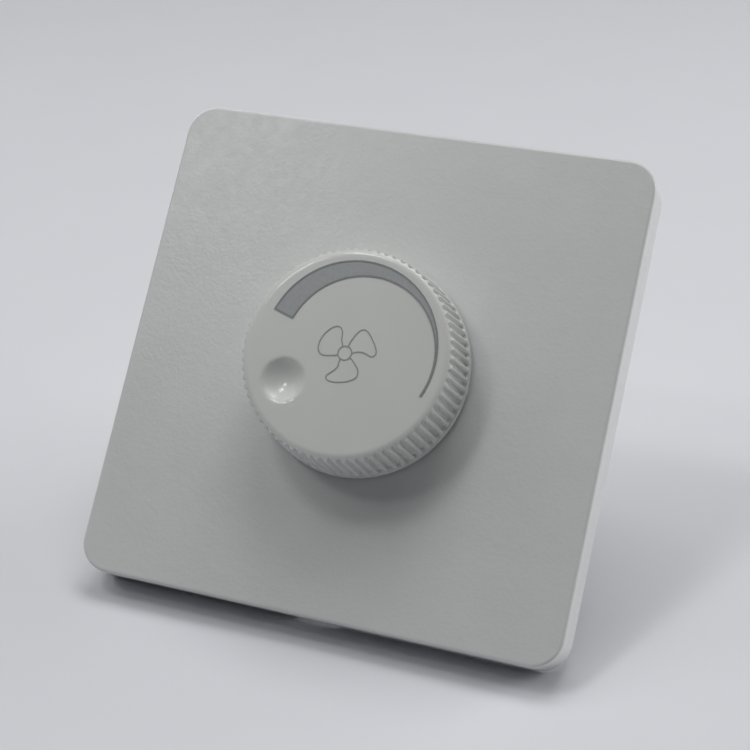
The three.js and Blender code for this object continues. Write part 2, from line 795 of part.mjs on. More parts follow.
function potFrontPlate() {
  const [front, back] = pot.plateDepth;
  const disc = rodY(pot.plateRadius, front, back);
  const tabs = [0, 120, 240].map((angle) => {
    const tab = new THREE.BoxGeometry(pot.tab.width, back - front, pot.tab.height);
    tab.translate(0, (front + back) / 2, pot.tab.place).rotateY(angle * DEGREE);
    return solid(tab);
  });
  const hole = rodY(bush.radius + GAP, front - THROUGH, back + THROUGH);
  return disc.add(joined(tabs)).subtract(hole);
}

function hexNut() {
  const { acrossFlats, front, back, chamfer, crownRadius } = nut;
  const corner = acrossFlats / 2 / Math.cos(Math.PI / 6);
  const hex = rodY(corner, front, back, { sides: 6 });
  const wide = corner + chamfer;
  const dressed = turned([
    [0, front], [crownRadius, front], [wide, front + chamfer], [wide, back], [0, back],
  ]);
  const hole = rodY(bush.radius + GAP, front - THROUGH, back + THROUGH);
  return hex.intersect(dressed).subtract(hole);
}

function toothedWasher() {
  const { front, back, teeth, root, tip } = washer;
  const points = [];
  for (let i = 0; i < 2 * teeth; i += 1) {
    const angle = (i * Math.PI) / teeth;
    const radius = i % 2 ? root : tip;
    points.push(new THREE.Vector2(radius * Math.cos(angle), radius * Math.sin(angle)));
  }
  const star = solid(extrudedY(new THREE.Shape(points), front, back));
  return star.subtract(rodY(washer.bore, front - THROUGH, back + THROUGH));
}

function resistorWafer() {
  const [from, to] = pot.waferDepth;
  const { half, low, high } = pot.tongue;
  const disc = rodY(pot.waferRadius, from, to);
  const tongue = block([-half, from, low], [half, to, high]);
  return disc.add(tongue).subtract(rodY(pot.waferBore, from - THROUGH, to + THROUGH));
}

// A ring about the shaft that is open around the bottom.
function carbonTrack() {
  const { inner, outer, gap } = pot.track;
  const ring = new THREE.Shape();
  const start = (gap - Math.PI) / 2;
  const end = start + TURN - gap;
  ring.absarc(0, 0, outer, start, end, false);
  ring.absarc(0, 0, inner, end, start, true);
  return solid(extrudedY(ring, ...pot.trackDepth, { curve: 9 }));
}

function wiperSpring() {
  const [from, to] = pot.springDepth;
  const { outer, inner, armWidth, armStart, armEnd } = pot.spring;
  const ring = rodY(outer, from, to).subtract(rodY(inner, from - THROUGH, to + THROUGH));
  return ring.add(block([-armWidth / 2, from, armStart], [armWidth / 2, to, armEnd]));
}

function wiperCarrier() {
  const [from, to] = pot.rotorDepth;
  const { half, low, high, sunk, rise } = pot.stop;
  const disc = rodY(pot.rotorRadius, from, to);
  const stop = block([-half, to - sunk, low], [half, to + rise, high]);
  return disc.add(stop).subtract(rodY(shaft.stub + GAP, from - THROUGH, to + THROUGH));
}

function potCan() {
  const [front, back] = pot.canDepth;
  const { radius, wall, hole } = pot.can;
  const { half, low, high } = pot.mouth;
  const cup = rodY(radius, front, back);
  const room = rodY(radius - wall, front - THROUGH, back - wall);
  const centre = rodY(hole, back - THROUGH, back + THROUGH, { sides: 16 });
  const mouth = block([-half, front - THROUGH, low], [half, pot.mouth.back, high]);
  return cup.subtract(room).subtract(centre).subtract(mouth);
}

function switchModule() {
  const [front, back] = pot.switchDepth;
  const { radius, height } = pot.switchStep;
  const step = rodY(radius, back - height, back + height, { sides: 20 });
  return rodY(pot.switchRadius, front, back).add(step);
}

function potLug(x) {
  const { width, thickness, top, low, footHeight } = lug;
  const back = pot.waferDepth[0] - GAP;
  const front = back - thickness;
  const half = width / 2;
  const strip = block([x - half, front, low], [x + half, back, top]);
  const foot = block(
    [x - half, back - thickness / 2, low], [x + half, board.back + solderEnd, low + footHeight]);
  return strip.add(foot);
}

function switchPin(x) {
  const { width, z, front } = switchLug;
  const half = width / 2;
  return block([x - half, front, z - half], [x + half, board.back + solderEnd, z + half]);
}

// ---------------------------------------------------------------- parts on the circuit board

// Where leads pass through the board, as [x, z] pairs.
function leadPlaces() {
  const along = (part) => [-part.pins, part.pins];
  const bent = Object.values(axials).flatMap(({ x, z, span }) => {
    const reach = (span - board.leadWidth) / 2;
    return [[x - reach, z], [x + reach, z]];
  });
  const half = board.leadWidth / 2;
  return [
    ...along(film).map((offset) => [film.x, film.z + offset]),
    ...along(timing).map((offset) => [timing.x + offset, timing.z]),
    ...along(choke).map((offset) => [choke.x + offset, choke.z]),
    ...bent,
    ...triac.pinReach.map((reach) => (
      [triac.bodyHigh + reach - half, sink.face - triac.gap - triac.pinDrop])),
    ...[-1, 1].map((side) => [
      (side * terminal.pitch) / 2, (terminal.leg.low + terminal.leg.high) / 2]),
    ...switchLug.places.map((x) => [x, switchLug.z]),
  ];
}

function circuitBoard() {
  const { width, height, corner, front, back, holeRadius, leadHoleRadius } = board;
  const [from, to] = [front - THROUGH, back + THROUGH];
  const outline = roundedRectangle(width, height, corner);
  const screwHoles = atCorners(housing.postX, housing.postZ, (x, z) => (
    rodY(holeRadius, from, to, { x, z, sides: 12 })));
  const leadHoles = leadPlaces().map(([x, z]) => (
    rodY(leadHoleRadius, from, to, { x, z, sides: 4 })));
  const slack = 0.3;
  const half = lug.width / 2 + slack;
  const lugSlots = lug.places.map((x) => block(
    [x - half, from, lug.low - slack], [x + half, to, lug.low + lug.footHeight + slack]));
  const plain = solid(extrudedY(outline, front, back, { curve: 3 }));
  return plain.subtract(joined([...screwHoles, ...leadHoles, ...lugSlots]));
}

// A lead that goes from a component down through the board.
function lead(x, z, from) {
  const half = board.leadWidth / 2;
  return block([x - half, board.front - board.leadEnd, z - half], [x + half, from, z + half]);
}

// A moulded component case with rounded edges that stands on the board.
function caseBlock({ x, z, width, height, length, rounding }) {
  const outline = roundedRectangle(width, length, rounding);
  const shape = extrudedY(outline, board.seat, board.seat + height, {
    rounding: rounding * 0.8,
    steps: 2,
    curve: 1,
  });
  return solid(shape.translate(x, 0, z));
}

function filmCapacitor() {
  const { x, z, pins } = film;
  const leads = [-pins, pins].map((along) => lead(x, z + along, board.seat + 1));
  return caseBlock(film).add(joined(leads));
}

function timingCapacitor() {
  const { x, z, pins } = timing;
  const leads = [-pins, pins].map((along) => lead(x + along, z, board.seat + 1));
  return caseBlock(timing).add(joined(leads));
}

function chokeCore() {
  const { x, z, flange, core, height, rim, pins } = choke;
  const [from, to] = [board.seat, board.seat + height];
  const body = turned([
    [0, from], [flange, from], [flange, from + rim], [core, from + rim],
    [core, to - rim], [flange, to - rim], [flange, to], [0, to],
  ], 20);
  const leads = [-pins, pins].map((along) => lead(along, 0, from + rim / 2));
  return body.add(joined(leads)).translate([x, 0, z]);
}

function chokeWinding() {
  const { x, z, core, height, rim, gap, windingRadius } = choke;
  const [from, to] = [board.seat + rim + gap, board.seat + height - rim - gap];
  const inner = core + gap;
  const ring = turned([
    [inner, from], [windingRadius, from], [windingRadius, to], [inner, to], [inner, from],
  ], 20);
  return ring.translate([x, 0, z]);
}

// A lacquered body along X, waisted between its two caps, on two bent leads.
function axialPart({ x, z, length, radius, span }) {
  const height = board.seat + radius + board.standoff;
  const half = length / 2;
  const [edge, cap, waist] = [0.4, 1, 1.4]; // from each end
  const [endRadius, waistRadius] = [0.8 * radius, 0.85 * radius];
  const barrel = turned([
    [0, -half], [endRadius, -half], [radius, edge - half], [radius, cap - half],
    [waistRadius, waist - half], [waistRadius, half - waist],
    [radius, half - cap], [radius, half - edge], [endRadius, half], [0, half],
  ], 10).rotate([0, 0, 90]).translate([x, height, z]);
  const wire = board.leadWidth / 2;
  const reach = span / 2;
  const rod = block([x - reach, height - wire, z - wire], [x + reach, height + wire, z + wire]);
  const legs = [-1, 1].map((side) => lead(x + side * (reach - wire), z, height + wire));
  return barrel.add(rod).add(joined(legs));
}

function heatSink() {
  const { x, width, face, base, fin, finThickness, fins, height, holeRadius } = sink;
  const [from, to] = [board.seat, board.seat + height];
  const [low, high] = [x - width / 2, x + width / 2];
  const ribs = [];
  for (let i = 0; i < fins; i += 1) {
    const at = low + (i * (width - finThickness)) / (fins - 1);
    ribs.push(block([at, from, face + base / 2], [at + finThickness, to, face + base + fin]));
  }
  const hole = rodY(holeRadius, face - THROUGH, face + base + THROUGH, { sides: 16 });
  const plain = block([low, from, face], [high, to, face + base]).add(joined(ribs));
  return plain.subtract(hole.rotate([90, 0, 0]).translate([triac.hole, triac.middle, 0]));
}

// The triac lies with its tab against the heat sink and its pins towards +X.
function triacBody() {
  const { tabLow, bodyLow, bodyHigh, halfWidth, thickness, hole, holeRadius } = triac;
  const { middle, tab, gap, pinPitch, pinReach, pinDrop } = triac;
  const back = sink.face - gap;
  const [low, high] = [middle - halfWidth, middle + halfWidth];
  let body = block([tabLow, low, back - tab], [bodyLow + THROUGH, high, back]);
  body = body.add(block([bodyLow, low, back - thickness], [bodyHigh, high, back - triac.recess]));
  const hollow = rodY(holeRadius, -2 * tab, 2 * tab, { sides: 20 }).rotate([90, 0, 0]);
  body = body.subtract(hollow.translate([hole, middle, back - tab / 2]));
  const [halfWide, halfThick] = [triac.pinWidth / 2, board.leadWidth / 2];
  const z = back - pinDrop;
  pinReach.forEach((reach, i) => {
    const y = middle + pinPitch * (i - 1);
    const end = bodyHigh + reach;
    const foot = board.front - board.leadEnd;
    body = body.add(block(
      [bodyHigh - halfWide, y - halfWide, z - halfThick], [end, y + halfWide, z + halfThick]));
    body = body.add(block(
      [end - board.leadWidth, foot, z - halfThick], [end, y + halfWide, z + halfThick]));
  });
  return body;
}

function heatSinkScrew() {
  const { headRadius, crownRadius, headHeight, edge, shankRadius, length, slot } = sinkScrew;
  const body = turned([
    [0, -headHeight], [crownRadius, -headHeight], [headRadius, edge - headHeight],
    [headRadius, 0], [shankRadius, 0], [shankRadius, length], [0, length],
  ], 16);
  const half = slot / 2;
  const drive = block([-headRadius, -2 * headHeight, -half], [headRadius, slot - headHeight, half]);
  const under = sink.face - triac.gap - triac.tab - triac.gap;
  return body.subtract(drive).rotate([90, 0, 0]).translate([triac.hole, triac.middle, under]);
}

// ---------------------------------------------------------------- terminals

function terminalBlock() {
  const { pitch, width, front, back, zLow, zHigh, screwZ } = terminal;
  const { chamber, wireHole, screwHoleRadius, legSlot, groove } = terminal;
  let body = block([-width / 2, front, zLow], [width / 2, back, zHigh]);
  for (const x of [-pitch / 2, pitch / 2]) {
    const cut = ({ half }, [fromY, toY], [fromZ, toZ]) => (
      block([x - half, fromY, fromZ], [x + half, toY, toZ]));
    body = body.subtract(joined([
      cut(chamber, [chamber.front, chamber.back], [chamber.low, chamber.high]),
      cut(wireHole, [wireHole.front, wireHole.back], [zLow - THROUGH, zLow + wireHole.reach]),
      cut(legSlot, [front - THROUGH, front + legSlot.depth], [legSlot.low, legSlot.high]),
      rodY(screwHoleRadius, chamber.back - LAP, back + THROUGH, { x, z: screwZ }),
    ]));
  }
  return body.subtract(block(
    [-groove.width / 2, back - groove.depth, zLow - THROUGH],
    [groove.width / 2, back + THROUGH, zHigh + THROUGH]));
}

function terminalContact() {
  const { tongue, leg } = terminal;
  const plateSolid = block(
    [-tongue.half, tongue.front, tongue.low], [tongue.half, tongue.back, tongue.high]);
  const foot = board.front - board.leadEnd;
  const legSolid = block(
    [-leg.half, foot, leg.low], [leg.half, tongue.front + LAP, leg.high]);
  return plateSolid.add(legSolid);
}

// The cage rises along the screw and presses the wire against the contact.
function terminalClamp() {
  const { screwZ, cage, cageWindow, cageHoleRadius } = terminal;
  const outside = block(
    [-cage.half, cage.front, screwZ - cage.below], [cage.half, cage.back, screwZ + cage.above]);
  const window = block(
    [-cageWindow.half, cageWindow.front, screwZ - 2 * cage.below],
    [cageWindow.half, cageWindow.back, screwZ + 2 * cage.above]);
  const hole = rodY(cageHoleRadius, cageWindow.back - THROUGH, cage.back + THROUGH, {
    z: screwZ,
    sides: 20,
  });
  return outside.subtract(window).subtract(hole);
}

function terminalScrew() {
  const { tip, tipRadius, radius, under, headRadius, top, chamfer } = clampScrew;
  const { slotWidth, slotDepth } = clampScrew;
  const body = turned([
    [0, tip], [tipRadius, tip], [radius, tip + radius - tipRadius], [radius, under],
    [headRadius, under], [headRadius, top - chamfer], [headRadius - chamfer, top], [0, top],
  ], 16);
  const half = slotWidth / 2;
  const drive = block([-headRadius, top - slotDepth, -half], [headRadius, top + THROUGH, half]);
  return body.subtract(drive).translate([0, 0, terminal.screwZ]);
}

// ---------------------------------------------------------------- assembly

const f = finishes;

const shell = group([0, 0, 0],
  piece("cover_plate", coverPlate(), f.whitePlastic),
  piece("carrier_frame", carrierFrame(), f.carrierPlastic),
  piece("rear_housing", rearHousing(), f.housingPlastic));

const corners = [[-1, -1], [1, -1], [1, 1], [-1, 1]];
const screws = corners.map(([x, z], i) => (
  group([x * housing.postX, 0, z * housing.postZ],
    piece(`housing_screw_${i + 1}`, housingScrew(), f.steel))));

const turningParts = group([0, 0, 0],
  piece("knob", knobBody(), f.knobPlastic),
  piece("knob_scale_fill", scaleFill(), f.greyInk),
  piece("knob_scale_outline", scaleOutline(), f.darkInk),
  piece("knob_fan_icon", fanIcon(), f.darkInk),
  piece("control_shaft", controlShaft(), f.aluminium),
  piece("shaft_circlip", shaftCirclip(), f.steel),
  piece("wiper_carrier", wiperCarrier(), f.blackPlastic),
  piece("wiper_spring", wiperSpring(), f.brass));

const potentiometer = group([0, 0, 0],
  piece("threaded_bush", threadedBush(), f.brass),
  piece("bush_nut", hexNut(), f.steel),
  piece("bush_washer", toothedWasher(), f.steel),
  piece("pot_front_plate", potFrontPlate(), f.steel),
  piece("resistor_wafer", resistorWafer(), f.phenolic),
  piece("carbon_track", carbonTrack(), f.carbon),
  piece("pot_can", potCan(), f.steel),
  piece("switch_module", switchModule(), f.phenolic),
  ...lug.places.map((x, i) => piece(`pot_lug_${i + 1}`, potLug(x), f.steel)),
  ...switchLug.places.map((x, i) => piece(`switch_lug_${i + 1}`, switchPin(x), f.steel)));

const electronics = group([0, 0, 0],
  piece("circuit_board", circuitBoard(), f.boardLaminate),
  piece("film_capacitor", filmCapacitor(), f.capacitorCase),
  piece("timing_capacitor", timingCapacitor(), f.capacitorCase),
  piece("choke_core", chokeCore(), f.ferrite),
  piece("choke_winding", chokeWinding(), f.copper),
  piece("resistor_1", axialPart(axials.resistor_1), f.resistorLacquer),
  piece("resistor_2", axialPart(axials.resistor_2), f.resistorLacquer),
  piece("diac", axialPart(axials.diac), f.diacGlass),
  piece("triac", triacBody(), f.blackPlastic),
  piece("heat_sink", heatSink(), f.aluminium),
  piece("heat_sink_screw", heatSinkScrew(), f.steel),
  piece("terminal_block", terminalBlock(), f.terminalPlastic));

const ways = [-1, 1].map((side, i) => (
  group([(side * terminal.pitch) / 2, 0, 0],
    piece(`terminal_contact_${i + 1}`, terminalContact(), f.brass),
    piece(`terminal_clamp_${i + 1}`, terminalClamp(), f.brass),
    piece(`terminal_screw_${i + 1}`, terminalScrew(), f.steel))));

const controller = group([0, 0, 0],
  shell, ...screws, turningParts, potentiometer, electronics, ...ways);
controller.name = "fan_speed_controller";

export default controller;
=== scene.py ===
"""Looks of the rotary fan speed controller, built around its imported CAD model.

Everything is in metres in the part's own frame: +Z up, the front faces -Y, the wall plane is Y = 0.
"""

import json
import math

import bmesh
import bpy
import numpy as np
from mathutils import Matrix, Vector


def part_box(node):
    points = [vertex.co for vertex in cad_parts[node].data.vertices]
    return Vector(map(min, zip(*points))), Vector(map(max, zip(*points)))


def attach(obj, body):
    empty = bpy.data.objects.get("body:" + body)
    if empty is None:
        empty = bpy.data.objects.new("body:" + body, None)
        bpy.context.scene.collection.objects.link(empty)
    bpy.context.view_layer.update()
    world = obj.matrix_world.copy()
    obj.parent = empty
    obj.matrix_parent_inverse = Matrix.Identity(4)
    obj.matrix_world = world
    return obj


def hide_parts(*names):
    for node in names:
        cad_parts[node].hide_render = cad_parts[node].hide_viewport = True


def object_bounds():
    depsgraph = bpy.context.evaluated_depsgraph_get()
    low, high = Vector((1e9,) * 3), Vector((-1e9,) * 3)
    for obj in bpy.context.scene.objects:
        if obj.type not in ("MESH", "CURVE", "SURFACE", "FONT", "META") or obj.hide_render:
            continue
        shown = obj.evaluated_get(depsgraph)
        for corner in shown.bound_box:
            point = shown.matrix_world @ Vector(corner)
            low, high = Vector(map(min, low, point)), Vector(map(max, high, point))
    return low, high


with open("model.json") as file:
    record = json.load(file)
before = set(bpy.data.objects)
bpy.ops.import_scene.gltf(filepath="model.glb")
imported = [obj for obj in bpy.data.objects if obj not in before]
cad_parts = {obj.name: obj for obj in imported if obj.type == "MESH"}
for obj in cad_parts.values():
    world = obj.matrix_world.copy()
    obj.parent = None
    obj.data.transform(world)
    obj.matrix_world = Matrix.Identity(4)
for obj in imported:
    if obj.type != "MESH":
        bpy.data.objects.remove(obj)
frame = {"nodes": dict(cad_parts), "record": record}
cad_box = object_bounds()

MM = 0.001
TURN = 2 * math.pi
THROUGH = 1.0  # how far a cutter runs past what it cuts, in millimetres
SLOT_OF = {row["node"]: row["material_slot"] for row in frame["record"]["subparts"]}
BODY_OF = {
    node: body
    for body, members in frame["record"]["behaviour"]["bodies"].items()
    for node in members
}

# ---------------------------------------------------------------- camera

CAMERA_PLACE = Vector((84.15, -270.12, -46.50)) * MM
CAMERA_AHEAD = Vector((-0.29444, 0.94135, 0.16480))
CAMERA_UP = Vector((-0.1660, -0.2202, 0.96123))
CAMERA_LENS = 78.42  # millimetres, on a 36 mm square sensor


def make_camera():
    camera = bpy.data.objects.new("camera", bpy.data.cameras.new("camera"))
    camera.data.lens = CAMERA_LENS
    camera.data.sensor_width = 36
    camera.data.clip_start = 0.01
    camera.data.clip_end = 20
    ahead = CAMERA_AHEAD.normalized()
    right = ahead.cross(CAMERA_UP).normalized()
    turned_axes = Matrix((right, right.cross(ahead), -ahead)).transposed()
    camera.matrix_world = Matrix.Translation(CAMERA_PLACE) @ turned_axes.to_4x4()
    bpy.context.scene.collection.objects.link(camera)
    bpy.context.scene.camera = camera


# ---------------------------------------------------------------- meshes


def mesh_object(name, vertices, faces):
    """A new object in the part's frame from its vertices, in metres, and its faces."""
    mesh = bpy.data.meshes.new(name)
    mesh.from_pydata([tuple(v) for v in vertices], [], [tuple(f) for f in faces])
    mesh.validate()
    piece = bpy.data.objects.new(name, mesh)
    bpy.context.scene.collection.objects.link(piece)
    return piece


def smooth(piece, sharp_degrees):
    """Smooth shading, apart from edges that turn more than the given angle."""
    piece.data.shade_smooth()
    piece.data.set_sharp_from_angle(angle=math.radians(sharp_degrees))


def bridged(name, rings, closed_ends=True):
    """A closed surface through rings of equally many points, in millimetres.

    The first and last ring are filled, or joined to each other, as on a tube that closes on itself.
    """
    count = len(rings[0])
    last = (len(rings) - 1) * count
    pairs = [(low, low + count) for low in range(0, last, count)]
    if not closed_ends:
        pairs.append((last, 0))
    faces = []
    for low, high in pairs:
        for i in range(count):
            j = (i + 1) % count
            faces.append((low + i, low + j, high + j, high + i))
    if closed_ends:
        faces.append(tuple(range(count))[::-1])
        faces.append(tuple(range(last, last + count)))
    return outward(mesh_object(name, np.concatenate(rings) * MM, faces))


def outward(piece):
    """Turns all faces of a closed mesh outwards."""
    work = bmesh.new()
    work.from_mesh(piece.data)
    bmesh.ops.recalc_face_normals(work, faces=work.faces)
    if work.calc_volume(signed=True) < 0:
        bmesh.ops.reverse_faces(work, faces=work.faces)
    work.to_mesh(piece.data)
    work.free()
    return piece


def circle(radius, y, count, x=0.0, z=0.0):
    """Points on a circle about a line along Y, in millimetres; the radius may vary around it."""
    angles = np.arange(count) * TURN / count
    flat = np.full(count, y)
    return np.stack([x + radius * np.cos(angles), flat, z + radius * np.sin(angles)], 1)


def turned(name, profile, sides=64):
    """A solid of revolution about the Y axis, from [radius, y] pairs in millimetres."""
    return bridged(name, [circle(radius, y, sides) for radius, y in profile])


def rounded_square(half_x, half_z, radius, y, corner_steps=12, side_steps=16):
    """Points on a rectangle with round corners, in the plane at that Y, in millimetres."""
    points = []
    corners = [(1, -1, -90), (1, 1, 0), (-1, 1, 90), (-1, -1, 180)]
    for index, (sx, sz, start) in enumerate(corners):
        centre = np.array([sx * (half_x - radius), sz * (half_z - radius)])
        for step in range(corner_steps + 1):
            angle = math.radians(start + 90 * step / corner_steps)
            points.append(centre + radius * np.array([math.cos(angle), math.sin(angle)]))
        nx, nz, next_start = corners[(index + 1) % 4]
        after = np.array([nx * (half_x - radius), nz * (half_z - radius)])
        angle = math.radians(next_start)
        after = after + radius * np.array([math.cos(angle), math.sin(angle)])
        before = points[-1]
        for step in range(1, side_steps):
            points.append(before + (after - before) * step / side_steps)
    flat = np.array(points)
    return np.stack([flat[:, 0], np.full(len(flat), y), flat[:, 1]], 1)


def block(low, high):
    """A plain box for cutting and joining, from its corners in millimetres."""
    (x0, y0, z0), (x1, y1, z1) = low, high
    rings = [
        np.array([[x0, y, z0], [x1, y, z0], [x1, y, z1], [x0, y, z1]], float) for y in (y0, y1)
    ]
    return bridged("block", rings)


def boolean(piece, tools, operation):
    """Cuts or joins a piece with closed helper meshes, which are used up."""
    for tool in tools:
        modifier = piece.modifiers.new("boolean", "BOOLEAN")
        modifier.operation = operation
        modifier.solver = "MANIFOLD"
        modifier.object = tool
        graph = bpy.context.evaluated_depsgraph_get()
        result = bpy.data.meshes.new_from_object(piece.evaluated_get(graph))
        piece.modifiers.remove(modifier)
        piece.data = result
        bpy.data.objects.remove(tool)


def bevelled(piece, width, segments=2, over_degrees=30):
    """Rounds the edges that turn more than the given angle."""
    work = bmesh.new()
    work.from_mesh(piece.data)
    limit = math.radians(over_degrees)
    edges = [e for e in work.edges if e.is_manifold and e.calc_face_angle() > limit]
    bmesh.ops.bevel(
        work,
        geom=edges,
        offset=width * MM,
        segments=segments,
        profile=0.5,
        affect="EDGES",
        clamp_overlap=True,
    )
    work.to_mesh(piece.data)
    work.free()
    return piece


LEVEL = 0.003 * MM  # how far the ends of a circle's chord may differ in height and in radius
NARROWEST, WIDEST = 0.03, math.radians(35)  # the turn that a chord spans about its circle's axis


def rounder(piece, axis, centre, cuts=3):
    """Splits the chords of circles about an axis and moves the new points onto the circles."""
    across = [i for i in range(3) if i != axis]
    work = bmesh.new()
    work.from_mesh(piece.data)

    def polar(vertex):
        first, second = (vertex.co[i] - centre[i] for i in across)
        return math.hypot(first, second), math.atan2(second, first)

    chords = {}
    for edge in work.edges:
        low, high = edge.verts
        (low_radius, low_angle), (high_radius, high_angle) = polar(low), polar(high)
        turn = abs((high_angle - low_angle + math.pi) % TURN - math.pi)
        level = abs(low.co[axis] - high.co[axis]) < LEVEL
        round_about = abs(low_radius - high_radius) < LEVEL
        if level and round_about and NARROWEST < turn < WIDEST:
            chords.setdefault(round(low_radius / MM, 2), []).append(edge)
    for radius, edges in chords.items():
        live = [edge for edge in edges if edge.is_valid]
        split = bmesh.ops.subdivide_edges(work, edges=live, cuts=cuts, use_grid_fill=True)
        for item in split["geom_inner"]:
            if isinstance(item, bmesh.types.BMVert):
                factor = radius * MM / max(polar(item)[0], 1e-9)
                for i in across:
                    item.co[i] = centre[i] + (item.co[i] - centre[i]) * factor
    work.to_mesh(piece.data)
    work.free()


MOST_SIDES = 100  # a face with more sides than this is split before its edges are rounded


def merge(piece):
    """Joins points that coincide and faces that lie in one plane."""
    work = bmesh.new()
    work.from_mesh(piece.data)
    bmesh.ops.remove_doubles(work, verts=work.verts, dist=1e-7)
    bmesh.ops.dissolve_limit(
        work, angle_limit=math.radians(0.5), verts=work.verts, edges=work.edges
    )
    crowded = [face for face in work.faces if len(face.verts) > MOST_SIDES]
    bmesh.ops.triangulate(work, faces=crowded)
    work.to_mesh(piece.data)
    work.free()


def from_node(node, bevel, round_axis=None, round_centre=None):
    """A finer copy of a CAD node: rounder circles about an axis, and rounded edges."""
    piece = bpy.data.objects.new(f"{node}_fine", frame["nodes"][node].data.copy())
    bpy.context.scene.collection.objects.link(piece)
    merge(piece)
    if round_axis is not None:
        low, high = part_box(node)
        rounder(piece, round_axis, round_centre or (low + high) / 2)
    return bevelled(piece, bevel)


def paint(piece, node):
    """Gives a piece the material of a CAD node: its own one, or that of its slot."""
    piece.data.materials.clear()
    piece.data.materials.append(NODE_MATERIALS.get(node) or MATERIALS[SLOT_OF[node]])


def stands_for(piece, node, sharp_degrees=40):
    """Finishes a piece that takes a CAD node's place: smooth shading, the node's own material or
    its slot's, and the node's body; the node itself is hidden.
    """
    smooth(piece, sharp_degrees)
    weighted = piece.modifiers.new("flat_faces_stay_flat", "WEIGHTED_NORMAL")
    weighted.keep_sharp = True
    paint(piece, node)
    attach(piece, BODY_OF[node])
    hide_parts(node)


# ---------------------------------------------------------------- materials

NOISE_LOW, NOISE_HIGH = 0.3, 0.7  # most of a noise lies between these values


def opaque(colour):
    """A colour with its fourth value, or the output that it comes from."""
    return colour if isinstance(colour, bpy.types.NodeSocket) else (*colour, 1)


